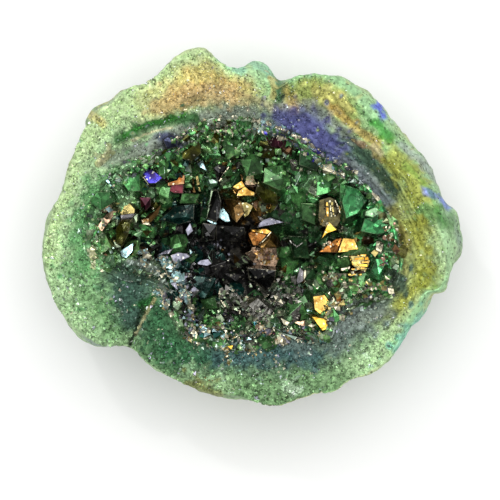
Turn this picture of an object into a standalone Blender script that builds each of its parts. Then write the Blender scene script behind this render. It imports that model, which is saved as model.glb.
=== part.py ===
"""Half of a quartz geode: a lumpy rind broken open along its rim, and the crust of quartz
crystals that lines its hollow. +Z is up, the origin is the middle of the flat it rests on.

Run with:  blender --background --python part.py
"""

import math

import bmesh
import bpy
import numpy as np

MM = 0.001  # the lengths below are in millimetres

# ---- Outer form of the rind -------------------------------------------------------------
RIM_HEIGHT = 28.5          # mean height of the rim's crest above the table
BELLY_SHARE = 0.74         # height of the widest girth, as a share of the crest's height
BELLY_CLIMB = 0.7          # share of the way up the skin at which the girth lies
FOOT_SHARE = 0.36          # radius of the resting flat, as a share of the girth
SHOULDER_MIN = 0.9         # least inset of the crest from the girth
GIRTH_SPREAD = 26.0        # degrees over which the girth's lobes even out towards the foot
GIRTH_SAMPLES = 9          # bearings in that spread
SWELL_OFFSET = 0.6         # by which the lumps sink, so that they stay inside the girth
SKIN_LUMPS = ((1.5, 14.0, 3), (0.6, 7.0, 4))      # (swell, spacing, seed) of the outer skin

# Widest girth seen from above, anticlockwise from the right flank.
GIRTH = (
    (36.1, -3.9), (35.7, 0.5), (34.8, 4.6), (33.4, 8.1), (30.9, 11.5), (27.9, 15.4),
    (25.7, 19.4), (22.8, 22.6), (19.4, 24.9), (15.9, 27.0), (12.4, 27.5), (8.6, 26.9),
    (5.0, 25.4),                                              # notch in the upper edge
    (3.0, 28.1), (0.4, 29.1), (-2.6, 28.5), (-5.1, 29.1), (-8.1, 31.1), (-12.3, 30.0),
    (-15.2, 27.6), (-18.3, 25.4), (-21.4, 24.4), (-24.0, 21.9), (-26.4, 20.7),
    (-28.6, 17.5), (-30.3, 14.2), (-31.4, 10.3), (-32.3, 6.9), (-33.9, 3.9), (-35.1, 0.0),
    (-35.8, -3.9), (-35.1, -8.1), (-33.8, -12.3), (-31.7, -15.4), (-28.6, -18.5),
    (-25.4, -20.1), (-21.3, -20.2),                           # notch in the lower left edge
    (-17.7, -23.1), (-14.2, -25.4), (-10.0, -27.4), (-5.1, -28.6), (-1.7, -29.1),
    (1.7, -30.3), (5.1, -30.7), (8.1, -29.5), (11.6, -28.5), (14.6, -28.2), (17.1, -26.3),
    (20.6, -24.9), (23.5, -23.1), (26.1, -20.8), (28.4, -17.6), (30.0, -14.6),
    (31.6, -11.2),                                            # notch in the right flank
    (34.0, -10.6), (35.7, -7.4),
)

# Where the crest stands well inside the girth, so that the skin shows past it from above:
# (bearing in degrees, half width in degrees, extra inset).
SHOULDERS = (
    (12.0, 27.0, 3.6),         # right flank
    (42.0, 18.0, 2.4),         # upper right
    (87.0, 7.0, 2.6),          # lump beside the upper notch
    (-31.0, 9.0, 1.7),         # lower right
)

# ---- Broken rim face --------------------------------------------------------------------
RIM_TILT = 1.1             # how much the crest rises towards RIM_TILT_BEARING
RIM_TILT_BEARING = 140.0
RIM_ROLL = 1.1             # swell of the crest's slow rise and fall
RIM_ROLL_WAVES = ((0.6, 3, 0.7), (0.4, 5, -1.1))  # (share, waves round the rim, phase)
RIM_LUMPS = ((0.45, 8.0, 5), (0.22, 4.5, 6))      # (rise, spacing, seed)
RIM_DROP = 3.4             # fall of the face from the crest to the hollow's edge
RIM_DROP_SWING = 1.5       # the upper side falls more than the lower
RIM_DROP_BEARING = 70.0
RIM_DROP_POWER = 1.6       # above 1 the face is level at the crest and steepens inwards
LUMPS_AT_EDGES = 0.35      # share of the lumps left at the crest and the hollow's edge

# Ridges and grooves that run along the rim: (start bearing, end bearing, place across the
# face from 0 at the crest to 1 at the hollow, width across the face, height).
RIM_LEDGES = (
    (-16.0, 62.0, 0.16, 0.09, 0.75),
    (-12.0, 55.0, 0.40, 0.08, 0.55),
    (8.0, 44.0, 0.60, 0.10, -1.30),
    (2.0, 60.0, 0.82, 0.10, 0.55),
    (112.0, 155.0, 0.68, 0.09, -1.40),
    (116.0, 158.0, 0.88, 0.10, 0.80),
    (196.0, 236.0, 0.80, 0.16, 0.70),
    (-58.0, -20.0, 0.70, 0.16, 0.60),
)

# Cracks across the rim face, as points seen from above.
CRACKS = (
    ((4.9, 28.0), (4.6, 24.4), (4.9, 21.8)),
    ((-21.4, -21.6), (-19.4, -17.0), (-16.6, -12.6)),
    ((34.0, -12.2), (30.6, -10.2), (29.4, -8.6)),
)
CRACK_WIDTH = 1.3
CRACK_DEPTH = 1.7

# ---- Hollow -----------------------------------------------------------------------------
# Edge of the hollow seen from above, anticlockwise from the right.
HOLLOW_EDGE = (
    (26.1, -3.4), (24.6, 1.2), (22.5, 5.0), (19.8, 8.2), (16.3, 10.8), (11.9, 13.0),
    (8.3, 15.6), (3.9, 17.7), (-1.7, 18.9), (-7.4, 18.3), (-10.9, 16.2), (-13.9, 14.2),
    (-17.3, 12.6), (-21.4, 10.9), (-24.8, 8.0), (-27.0, 4.2), (-28.1, 0.2), (-27.6, -4.0),
    (-24.6, -7.0), (-20.6, -8.6), (-16.6, -9.4), (-14.0, -11.4), (-13.2, -14.2),
    (-12.0, -17.0), (-9.4, -19.0), (-5.7, -19.7), (-1.7, -20.4), (2.1, -19.4), (5.5, -18.4),
    (9.4, -18.9), (12.9, -18.9), (14.5, -16.2), (16.6, -14.1), (20.1, -13.0), (24.4, -11.2),
    (26.1, -7.7),
)
FLOOR_HEIGHT = 7.5         # thickness of rind left under the hollow
FLOOR_CENTRE = (-2.5, -2.0)
WALL_STEEPNESS = 0.95      # below 1 the bowl has steep sides and a broad floor
WALL_LUMP = 0.6
WALL_LUMP_SPACING = 9.0
WALL_LUMP_SEED = 8

# ---- Crystal crust ----------------------------------------------------------------------
CRUST_GAP = 0.45           # between the crust's back and the rind
CRUST_DEPTH = 1.8          # of solid quartz from which the crystals stand
CRUST_EDGE = 0.35          # to which that thins at the hollow's edge
CRUST_TAPER = 0.25         # share of the wall over which it thickens
LINER_OVERLAP = 1.5        # of the untrimmed liner into the rind
ROOM_TOP = 40.0            # height to which the room for crystals runs, above every tip
TIP_SLOPE = 51.8           # of a quartz point's faces from its base, in degrees
TIP_SHARE = 0.93           # of the radius, to the middle of a prism side
SHOULDER_SWING = 0.22      # unevenness of the shoulder's height, as a share of the radius
TIP_SWING = 0.22           # of the tip off its axis, as a share of the radius
PRISM_STRETCH = (0.82, 1.12)
ROOT = 1.0                 # length of a crystal inside the crust
CRYSTAL_SEED = 11
TINT_GREEN = (0.03, 0.16, 0.06)
TINT_RIND = (0.30, 0.52, 0.27)

# Crystals that stand out: place seen from above, radius, length, lean towards +X and +Y in
# degrees, and turn about their own axis in degrees.
HERO_CRYSTALS = (
    (2.2, -2.0, 3.0, 6.4, -4, 10, 15),
    (-0.6, 7.2, 2.6, 6.4, -8, -14, 40),
    (15.6, -2.4, 3.4, 6.4, -22, 6, 5),
    (17.6, -6.2, 2.7, 5.8, -26, 14, 50),
    (13.0, 1.4, 1.9, 6.4, -14, -6, 25),
    (14.0, 4.8, 2.3, 6.2, -18, -16, 10),
    (12.2, -12.6, 2.2, 5.2, -10, 22, 30),
    (12.0, -16.0, 1.7, 4.0, -8, 26, 10),
    (-16.4, 9.2, 2.3, 5.0, 20, -20, 20),
    (-12.4, 7.8, 2.4, 5.4, 16, -18, 45),
    (-20.8, 3.6, 2.4, 5.0, 24, -8, 12),
    (-24.2, 1.2, 1.9, 4.2, 30, -2, 34),
    (-10.0, 13.0, 2.3, 4.8, 6, -30, 22),
    (5.8, 14.2, 2.3, 4.8, -4, -32, 50),
    (-4.6, -1.0, 3.3, 6.2, 8, 4, 28),
    (-8.6, -4.4, 2.2, 5.2, 12, 12, 8),
    (20.2, 1.6, 3.1, 5.6, -30, -12, 33),
    (9.6, 8.6, 2.9, 5.8, -12, -24, 18),
    (3.4, 10.8, 2.7, 5.6, -4, -22, 52),
    (-5.4, 12.2, 2.6, 5.2, 4, -26, 4),
    (8.2, -5.6, 2.7, 5.8, -12, 6, 44),
    (8.0, 2.8, 2.5, 6.2, -10, -6, 12),
    (-10.4, 2.2, 2.6, 5.8, 14, -8, 36),
)
# The rest, filled in by size: (radius from, radius to, number of tries).
CRYSTAL_SIZES = ((2.6, 3.2, 160), (2.1, 2.6, 500), (1.8, 2.1, 420))
CRYSTAL_CROWDING = 0.74    # nearest spacing, as a share of two neighbours' radii
SMALLEST_AT_EDGE = 0.66    # crystals shrink to this share of their size at the hollow's edge
EDGE_GROWTH = 1.6          # how fast they reach full size down the wall
SLANT = 0.16               # spread of a crystal's lean away from the wall's normal
UPRIGHT = 0.15             # pull of every crystal towards +Z
LENGTH_SHARES = (1.4, 2.3)  # length above the crust, as a share of the radius

# ---- Mesh resolution --------------------------------------------------------------------
COLUMNS = 72
SKIN_ROWS = 10
FACE_ROWS = 8
WALL_ROWS = 6
CRUST_COLUMNS = COLUMNS // 2
NORMAL_RANGE = (0.02, 0.97)  # part of the wall on which a normal is well defined


def polar_curve(points, theta):
    """Radius at each bearing theta of a smooth closed outline through the points.

    A cubic Hermite curve in the bearing, with slopes from each point's two neighbours.
    """
    xy = np.array(points)
    bearing = np.arctan2(xy[:, 1], xy[:, 0]) % (2 * math.pi)
    order = np.argsort(bearing)
    bearing, radius = bearing[order], np.hypot(xy[:, 0], xy[:, 1])[order]
    bearing = np.concatenate([bearing[-2:] - 2 * math.pi, bearing, bearing[:2] + 2 * math.pi])
    radius = np.concatenate([radius[-2:], radius, radius[:2]])
    slope = np.zeros_like(radius)
    slope[1:-1] = (radius[2:] - radius[:-2]) / (bearing[2:] - bearing[:-2])
    turn = np.asarray(theta) % (2 * math.pi)
    i = np.clip(np.searchsorted(bearing, turn, side="right") - 1, 1, len(bearing) - 3)
    span = bearing[i + 1] - bearing[i]
    u = (turn - bearing[i]) / span
    return (
        radius[i] * (1 + 2 * u) * (1 - u) ** 2
        + radius[i + 1] * u * u * (3 - 2 * u)
        + span * (slope[i] * u * (1 - u) ** 2 - slope[i + 1] * u * u * (1 - u))
    )


def waves(points, spacing, seed, count=16):
    """Smooth random field of unit strength: a sum of plane waves in random directions."""
    rng = np.random.default_rng(seed)
    heading = rng.normal(size=(count, 3))
    heading /= np.linalg.norm(heading, axis=1, keepdims=True)
    pitch = 2 * math.pi / spacing * rng.uniform(0.7, 1.35, count)
    phase = rng.uniform(0, 2 * math.pi, count)
    return np.cos(points @ (heading * pitch[:, None]).T + phase).sum(-1) * math.sqrt(2 / count)


def bump(theta, bearing, half_width):
    """A smooth hump of height 1 round a bearing, in degrees, that falls away past half_width."""
    off = (np.degrees(theta) - bearing + 180) % 360 - 180
    return np.exp(-((off / half_width) ** 2))


def window(theta, start, end, fade=7.0):
    """1 between two bearings in degrees, fading to 0 outside them."""
    middle, half = (start + end) / 2, (end - start) / 2
    off = np.abs((np.degrees(theta) - middle + 180) % 360 - 180)
    return 1 / (1 + np.exp((off - half) / (fade / 4)))


def distance_to_path(x, y, path):
    """Distance in plan from each point to a path of straight runs."""
    nearest = np.full(np.shape(x), np.inf)
    for (ax, ay), (bx, by) in zip(path, path[1:]):
        run_x, run_y = bx - ax, by - ay
        share = ((x - ax) * run_x + (y - ay) * run_y) / (run_x**2 + run_y**2)
        share = np.clip(share, 0, 1)
        nearest = np.minimum(nearest, np.hypot(x - ax - share * run_x, y - ay - share * run_y))
    return nearest


def ring_points(theta, radius, height, centre=(0.0, 0.0)):
    """Points at a radius and height on each bearing theta from a centre in plan."""
    x = centre[0] + radius * np.cos(theta)
    y = centre[1] + radius * np.sin(theta)
    return np.stack(np.broadcast_arrays(x, y, height), axis=-1)


def crest_inset(theta):
    """How far the crest stands inside the girth."""
    inset = SHOULDER_MIN
    for bearing, half_width, extra in SHOULDERS:
        inset = inset + extra * bump(theta, bearing, half_width)
    return inset


def even_girth(theta):
    """The girth with its lobes evened out: the mean of bearings on both sides."""
    offsets = np.radians(np.linspace(-GIRTH_SPREAD, GIRTH_SPREAD, GIRTH_SAMPLES))
    return sum(polar_curve(GIRTH, theta + offset) for offset in offsets) / len(offsets)


def crest_height(theta):
    """Height of the rim's crest above the table: a tilt and a slow rise and fall."""
    tilt = RIM_TILT * np.cos(theta - math.radians(RIM_TILT_BEARING))
    roll = RIM_ROLL * sum(share * np.cos(count * theta + phase) for share, count, phase in RIM_ROLL_WAVES)
    return RIM_HEIGHT + tilt + roll


def skin_surface(theta, climb):
    """Outer skin: climb 0 is the edge of the resting flat, 1 the crest of the rim.

    A quarter ellipse from the flat out to the girth, then another in to the crest, swollen
    by lumps that fade out at the flat and the crest.
    """
    low = np.clip(climb / BELLY_CLIMB, 0, 1) * math.pi / 2
    high = np.clip((climb - BELLY_CLIMB) / (1 - BELLY_CLIMB), 0, 1) * math.pi / 2
    even = even_girth(theta)
    girth = even + (polar_curve(GIRTH, theta) - even) * np.sin(low) ** 3
    top = crest_height(theta)
    belly = BELLY_SHARE * top
    foot = FOOT_SHARE * even
    radius = foot + (girth - foot) * np.sin(low) - crest_inset(theta) * (1 - np.cos(high))
    height = belly * (1 - np.cos(low)) + (top - belly) * np.sin(high)
    points = ring_points(theta, radius, height)
    fade = np.sin(math.pi * np.clip(climb, 0, 1)) ** 1.5
    swell = sum(
        size * (np.tanh(waves(points, spacing, seed)) - SWELL_OFFSET)
        for size, spacing, seed in SKIN_LUMPS
    )
    return ring_points(theta, radius + fade * swell, height)


def face_surface(theta, across):
    """Broken rim face: across 0 is the crest, 1 the edge of the hollow.

    A straight run in plan whose height falls away inwards, with ledges, lumps and cracks.
    """
    outer = skin_surface(theta, np.ones_like(across))
    inner_radius = polar_curve(HOLLOW_EDGE, theta)
    outer_radius = np.hypot(outer[..., 0], outer[..., 1])
    radius = outer_radius + (inner_radius - outer_radius) * across
    swing = np.cos(theta - math.radians(RIM_DROP_BEARING))
    height = outer[..., 2] - (RIM_DROP + RIM_DROP_SWING * swing) * across**RIM_DROP_POWER
    flat = ring_points(theta, radius, height)
    for start, end, place, width, rise in RIM_LEDGES:
        ridge = np.exp(-(((across - place) / width) ** 2))
        height = height + rise * window(theta, start, end) * ridge
    inward = np.sin(math.pi * across) ** 0.5
    lumps = sum(rise * waves(flat, spacing, seed) for rise, spacing, seed in RIM_LUMPS)
    height = height + (LUMPS_AT_EDGES + (1 - LUMPS_AT_EDGES) * inward) * lumps
    for path in CRACKS:
        away = distance_to_path(flat[..., 0], flat[..., 1], path)
        height = height - CRACK_DEPTH * np.exp(-((away / CRACK_WIDTH) ** 2))
    return ring_points(theta, radius, height)


def wall_surface(theta, down):
    """Wall of the hollow: down 0 is its edge, 1 the middle of its floor.

    A bowl whose section is a superellipse, drawn towards a floor centre off the axis.
    """
    edge = face_surface(theta, np.ones_like(down))
    edge_radius = np.hypot(edge[..., 0], edge[..., 1])
    angle = down * math.pi / 2
    radius = edge_radius * np.cos(angle) ** WALL_STEEPNESS
    sink = np.sin(angle) ** WALL_STEEPNESS
    drift = down**2
    height = edge[..., 2] - (edge[..., 2] - FLOOR_HEIGHT) * sink
    points = ring_points(theta, radius, height, (FLOOR_CENTRE[0] * drift, FLOOR_CENTRE[1] * drift))
    lump = WALL_LUMP * np.sin(math.pi * down) * waves(points, WALL_LUMP_SPACING, WALL_LUMP_SEED)
    level = np.cos(angle)
    inward = np.stack([-np.cos(theta) * level, -np.sin(theta) * level, np.sin(angle)], -1)
    return points + inward * lump[..., None]


def grid_of(surface, along, columns=COLUMNS):
    """Rows of a surface at the given stations, each once round the object."""
    turn, station = np.meshgrid(np.arange(columns) * 2 * math.pi / columns, along)
    return surface(turn, station)


def wall_normals(theta, down):
    """Unit normals of the hollow's wall, pointing into the hollow."""
    step = 1e-3
    low, high = np.clip(down - step, 0, 1), np.clip(down + step, 0, 1)
    run_down = wall_surface(theta, high) - wall_surface(theta, low)
    run_round = wall_surface(theta + step, down) - wall_surface(theta - step, down)
    normal = np.cross(run_round, run_down)
    normal /= np.linalg.norm(normal, axis=-1, keepdims=True)
    return normal


def wall_offset(along, depth, columns):
    """The wall's rows moved into the hollow by a depth, or by one depth for each row."""

    def moved(turn, down):
        shift = np.broadcast_to(np.reshape(depth, (-1, 1)), turn.shape)[..., None]
        return wall_surface(turn, down) + wall_normals(turn, np.clip(down, *NORMAL_RANGE)) * shift

    return grid_of(moved, along, columns)


def closed_mesh(name, rows, bottom, top):
    """A mesh from rings of points closed by a point at each end.

    The rings run so that the faces point out.
    """
    count, columns = rows.shape[:2]
    vertices = np.concatenate([rows.reshape(-1, 3), [bottom], [top]]) * MM
    first, last = count * columns, count * columns + 1
    faces = []
    for row in range(count - 1):
        for column in range(columns):
            beside = (column + 1) % columns
            low, high = row * columns, (row + 1) * columns
            faces.append((low + column, low + beside, high + beside, high + column))
    for column in range(columns):
        beside = (column + 1) % columns
        end = (count - 1) * columns
        faces.append((first, beside, column))
        faces.append((last, end + column, end + beside))
    mesh = bpy.data.meshes.new(name)
    mesh.from_pydata(vertices.tolist(), [], faces)
    mesh.validate()
    return mesh


def add_object(name, mesh, material=None):
    """Links a new object with that mesh and material."""
    obj = bpy.data.objects.new(name, mesh)
    bpy.context.scene.collection.objects.link(obj)
    if material:
        mesh.materials.append(material)
    return obj


def apply_modifiers(obj):
    """Puts the mesh that the modifiers make in place of the object's own."""
    bpy.context.view_layer.update()
    graph = bpy.context.evaluated_depsgraph_get()
    made = bpy.data.meshes.new_from_object(obj.evaluated_get(graph))
    obj.modifiers.clear()
    obj.data = made


def keep_largest_shell(mesh):
    """Fills the sealed pockets between crystals that lean together, by deleting their shells."""
    shells = bmesh.new()
    shells.from_mesh(mesh)
    left = set(shells.verts)
    groups = []
    while left:
        group, front = set(), [left.pop()]
        while front:
            vertex = front.pop()
            group.add(vertex)
            for edge in vertex.link_edges:
                other = edge.other_vert(vertex)
                if other in left:
                    left.discard(other)
                    front.append(other)
        groups.append(group)
    largest = max(groups, key=len)
    spare = [vertex for group in groups if group is not largest for vertex in group]
    bmesh.ops.delete(shells, geom=spare, context="VERTS")
    shells.to_mesh(mesh)
    shells.free()


def plain_material(name, colour, roughness, metallic):
    """A material of one colour."""
    material = bpy.data.materials.new(name)
    material.use_nodes = True
    shader = material.node_tree.nodes["Principled BSDF"]
    shader.inputs["Base Color"].default_value = (*colour, 1)
    shader.inputs["Roughness"].default_value = roughness
    shader.inputs["Metallic"].default_value = metallic
    return material


def build_rind():
    """The rind as one closed shell: up the skin, over the rim face and down into the hollow."""
    skin = grid_of(skin_surface, np.linspace(0, 1, SKIN_ROWS + 1)[:-1])
    face = grid_of(face_surface, np.linspace(0, 1, FACE_ROWS + 1)[:-1])
    wall = grid_of(wall_surface, np.linspace(0, 1, WALL_ROWS + 1)[:-1])
    rows = np.concatenate([skin, face, wall])
    floor = wall_surface(np.array(0.0), np.array(1.0))
    mesh = closed_mesh("rind", rows, (0, 0, 0), floor)
    return add_object("rind", mesh, plain_material("rind", TINT_RIND, 0.6, 0.1))


def crystal_mesh(name, foot, axis, radius, length, turn, rng):
    """A six-sided quartz point: a prism under a six-faced pyramid with its tip off centre."""
    axis = axis / np.linalg.norm(axis)
    side = np.cross(axis, (0.31, 0.95, 0.07))
    side /= np.linalg.norm(side)
    across = np.cross(axis, side)
    corner = math.radians(turn) + np.arange(6) * math.pi / 3
    stretch = rng.uniform(*PRISM_STRETCH)
    flat = (
        np.cos(corner)[:, None] * side * radius * stretch
        + np.sin(corner)[:, None] * across * radius / stretch
    )
    tip_height = radius * math.tan(math.radians(TIP_SLOPE)) * TIP_SHARE
    shoulder = length - tip_height + radius * SHOULDER_SWING * rng.uniform(-1, 1, 6)
    lean = rng.uniform(-TIP_SWING, TIP_SWING, 2) * radius
    tip = foot + axis * length + side * lean[0] + across * lean[1]
    base = foot + flat
    top = foot + flat + shoulder[:, None] * axis
    vertices = np.concatenate([base, top, [tip]]) * MM
    faces = [tuple(range(5, -1, -1))]
    for i in range(6):
        j = (i + 1) % 6
        faces.append((i, j, 6 + j, 6 + i))
        faces.append((6 + i, 6 + j, 12))
    mesh = bpy.data.meshes.new(name)
    mesh.from_pydata(vertices.tolist(), [], faces)
    return mesh


def down_at(x, y):
    """How far down the wall the point of the hollow under (x, y) lies, by bisection."""
    theta = np.arctan2(y, x)
    low, high = 0.0, 1.0
    for _ in range(30):
        middle = (low + high) / 2
        here = wall_surface(np.array(theta), np.array(middle))
        if math.hypot(here[0], here[1]) > math.hypot(x, y):
            low = middle
        else:
            high = middle
    return theta, (low + high) / 2


def crystal_places():
    """(foot, axis, radius, length, turn) of every crystal.

    The ones that stand out come first. The rest grow wherever they keep clear of the others.
    """
    rng = np.random.default_rng(CRYSTAL_SEED)
    places = []
    for x, y, radius, length, lean_x, lean_y, turn in HERO_CRYSTALS:
        theta, down = down_at(x, y)
        foot = wall_surface(np.array(theta), np.array(down))
        axis = np.array([math.tan(math.radians(lean_x)), math.tan(math.radians(lean_y)), 1.0])
        places.append((foot, axis, radius, length, turn))
    for smallest, largest, tries in CRYSTAL_SIZES:
        theta = rng.uniform(0, 2 * math.pi, tries)
        down = rng.uniform(0.08, 1.0, tries)
        keep = rng.uniform(0, 1, tries) < np.cos(down * math.pi / 2) ** WALL_STEEPNESS + 0.05
        feet = wall_surface(theta, down)
        normals = wall_normals(theta, np.clip(down, *NORMAL_RANGE))
        radii = rng.uniform(smallest, largest, tries)
        radii = radii * np.clip(SMALLEST_AT_EDGE + EDGE_GROWTH * down, 0, 1)
        slant = rng.normal(0, SLANT, (tries, 3))
        stretch = rng.uniform(*LENGTH_SHARES, tries)
        turns = rng.uniform(0, 60, tries)
        for i in np.flatnonzero(keep):
            clear = all(
                np.linalg.norm(feet[i] - foot) > CRYSTAL_CROWDING * (radii[i] + radius)
                for foot, _, radius, _, _ in places
            )
            if clear:
                axis = normals[i] + slant[i] + (0, 0, UPRIGHT)
                length = CRUST_DEPTH + radii[i] * stretch[i]
                places.append((feet[i], axis, radii[i], length, turns[i]))
    return places


def build_crust():
    """The crystal crust: a thick liner and its crystals, joined and trimmed to fit the hollow."""
    rng = np.random.default_rng(CRYSTAL_SEED + 1)
    along = np.linspace(0, 1, WALL_ROWS + 1)[:-1]
    # Space that the crust may fill: the hollow less a gap, drawn straight up past the rim.
    space = wall_offset(along, CRUST_GAP, COLUMNS)
    lift = space[0].copy()
    lift[:, 2] = ROOM_TOP
    centre = wall_surface(np.array(0.0), np.array(1.0))
    rows = np.concatenate([[lift], space])[::-1]
    room = add_object(
        "hollow_space",
        closed_mesh("hollow_space", rows, centre + (0, 0, CRUST_GAP), (0, 0, ROOM_TOP)),
    )
    # Liner: from behind that space to the crust's depth, thinning towards the hollow's edge.
    thickness = CRUST_EDGE + (CRUST_DEPTH - CRUST_EDGE) * np.clip(along / CRUST_TAPER, 0, 1)
    front = wall_offset(along, CRUST_GAP + thickness, CRUST_COLUMNS)
    back = wall_offset(along, -LINER_OVERLAP, CRUST_COLUMNS)
    back[0, :, 2] = front[0, :, 2]
    rows = np.concatenate([back[::-1], front])
    low, high = centre - (0, 0, LINER_OVERLAP), centre + (0, 0, CRUST_DEPTH + CRUST_GAP)
    liner = closed_mesh("liner", rows, low, high)
    crust = add_object("crystal_crust", liner, plain_material("aura_quartz", TINT_GREEN, 0.12, 0.4))
    growth = bpy.data.collections.new("crystals")
    bpy.context.scene.collection.children.link(growth)
    for number, (foot, axis, radius, length, turn) in enumerate(crystal_places()):
        name = f"crystal_{number:03d}"
        root = foot - ROOT * axis / np.linalg.norm(axis)
        mesh = crystal_mesh(name, root, axis, radius, length + ROOT, turn, rng)
        point = bpy.data.objects.new(name, mesh)
        growth.objects.link(point)
        point.hide_render = True
        point.display_type = "WIRE"
    room.hide_render = True
    room.display_type = "WIRE"
    join = crust.modifiers.new("grown_together", "BOOLEAN")
    join.operation = "UNION"
    join.operand_type = "COLLECTION"
    join.collection = growth
    trim = crust.modifiers.new("fit_hollow", "BOOLEAN")
    trim.operation = "INTERSECT"
    trim.object = room
    apply_modifiers(crust)
    keep_largest_shell(crust.data)
    for helper in list(growth.objects) + [room]:
        bpy.data.objects.remove(helper)
    return crust


def main():
    for obj in list(bpy.data.objects):
        bpy.data.objects.remove(obj)
    build_rind()
    build_crust()


main()
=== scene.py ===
"""Half of an aura-coated quartz geode: rind, sugar-grained rim, crystal crust and a plain stage.

Each operator makes one piece, or one group of like pieces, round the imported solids, and the panel
in the 3D view's sidebar lists them. Every piece is a surface worked out with numpy. Lengths in the
tables and functions are in millimetres, and turn into metres where a mesh is made.
"""

import math

import bpy
import numpy as np
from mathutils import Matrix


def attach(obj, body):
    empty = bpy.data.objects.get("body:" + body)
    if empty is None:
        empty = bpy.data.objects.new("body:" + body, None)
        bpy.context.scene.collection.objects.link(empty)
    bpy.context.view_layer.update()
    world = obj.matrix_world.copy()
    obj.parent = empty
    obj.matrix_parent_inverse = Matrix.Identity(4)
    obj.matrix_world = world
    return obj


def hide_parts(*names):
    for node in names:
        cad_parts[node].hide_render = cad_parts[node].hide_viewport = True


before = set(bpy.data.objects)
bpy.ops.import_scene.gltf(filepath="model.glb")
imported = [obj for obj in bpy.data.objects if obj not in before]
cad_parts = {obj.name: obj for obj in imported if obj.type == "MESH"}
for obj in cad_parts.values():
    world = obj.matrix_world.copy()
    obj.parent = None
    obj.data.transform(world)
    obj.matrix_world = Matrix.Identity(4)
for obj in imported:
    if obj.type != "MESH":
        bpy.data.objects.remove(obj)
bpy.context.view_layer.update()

bl_info = {
    "name": "Aura quartz geode half",
    "version": (1, 0, 0),
    "blender": (4, 5, 0),
    "location": "View3D > Sidebar > Geode",
    "description": "Builds a coated quartz geode half: rind, rim grains, crystals and stage",
    "category": "Mesh",
}

MM = 0.001

# ---- Outer form of the rind, as the solids have it ----
RIM_HEIGHT = 28.5
BELLY_SHARE = 0.74  # height of the girth, as a share of the rim's height
BELLY_CLIMB = 0.7  # share of the skin's stations below the girth
FOOT_SHARE = 0.36  # radius of the resting flat, as a share of the girth
SHOULDER_MIN = 0.9
GIRTH_SPREAD = 26  # degrees over which the girth is evened out
GIRTH_SAMPLES = 9
SKIN_LUMPS = ((1.5, 14, 3), (0.6, 7, 4))  # (swell, spacing, seed)
SWELL_OFFSET = 0.6  # by which the lumps are sunk into the skin

# Widest girth seen from above, anticlockwise from the right flank.
GIRTH = (
    (36.1, -3.9), (35.7, 0.5), (34.8, 4.6), (33.4, 8.1), (30.9, 11.5), (27.9, 15.4),
    (25.7, 19.4), (22.8, 22.6), (19.4, 24.9), (15.9, 27), (12.4, 27.5), (8.6, 26.9), (5, 25.4),
    (3, 28.1), (0.4, 29.1), (-2.6, 28.5), (-5.1, 29.1), (-8.1, 31.1), (-12.3, 30),
    (-15.2, 27.6), (-18.3, 25.4), (-21.4, 24.4), (-24, 21.9), (-26.4, 20.7), (-28.6, 17.5),
    (-30.3, 14.2), (-31.4, 10.3), (-32.3, 6.9), (-33.9, 3.9), (-35.1, 0), (-35.8, -3.9),
    (-35.1, -8.1), (-33.8, -12.3), (-31.7, -15.4), (-28.6, -18.5), (-25.4, -20.1),
    (-21.3, -20.2), (-17.7, -23.1), (-14.2, -25.4), (-10, -27.4), (-5.1, -28.6), (-1.7, -29.1),
    (1.7, -30.3), (5.1, -30.7), (8.1, -29.5), (11.6, -28.5), (14.6, -28.2), (17.1, -26.3),
    (20.6, -24.9), (23.5, -23.1), (26.1, -20.8), (28.4, -17.6), (30, -14.6), (31.6, -11.2),
    (34, -10.6), (35.7, -7.4),
)
# Where the crest stands well inside the girth: (bearing, half width in degrees, extra inset).
SHOULDERS = ((12, 27, 3.6), (42, 18, 2.4), (87, 7, 2.6), (-31, 9, 1.7))
RIM_TILT = 1.1
RIM_TILT_BEARING = 140
RIM_ROLL = 1.1
RIM_ROLL_WAVES = ((0.6, 3, 0.7), (0.4, 5, -1.1))  # (share, waves round the rim, phase)
RIM_LUMPS = ((0.45, 8, 5), (0.22, 4.5, 6))  # (rise, spacing, seed)
RIM_DROP = 3.4
RIM_DROP_SWING = 1.5
RIM_DROP_BEARING = 70
RIM_DROP_POWER = 1.6  # above 1 the face is level at the crest and steepens inwards
LUMPS_AT_EDGES = 0.35  # share of the lumps left at the crest and the hollow's edge
# Ridges and grooves along the rim: (start and end bearing, place across the face, width, rise).
RIM_LEDGES = (
    (-16, 62, 0.16, 0.09, 0.75),
    (-12, 55, 0.4, 0.08, 0.55),
    (8, 44, 0.6, 0.1, -1.3),
    (2, 60, 0.82, 0.1, 0.55),
    (112, 155, 0.68, 0.09, -1.4),
    (116, 158, 0.88, 0.1, 0.8),
    (196, 236, 0.8, 0.16, 0.7),
    (-58, -20, 0.7, 0.16, 0.6),
)
# Cracks across the rim, as points seen from above.
CRACKS = (
    ((4.9, 28), (4.6, 24.4), (4.9, 21.8)),
    ((-21.4, -21.6), (-19.4, -17), (-16.6, -12.6)),
    ((34, -12.2), (30.6, -10.2), (29.4, -8.6)),
)
CRACK_WIDTH = 1.3
CRACK_DEPTH = 1.7
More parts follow.
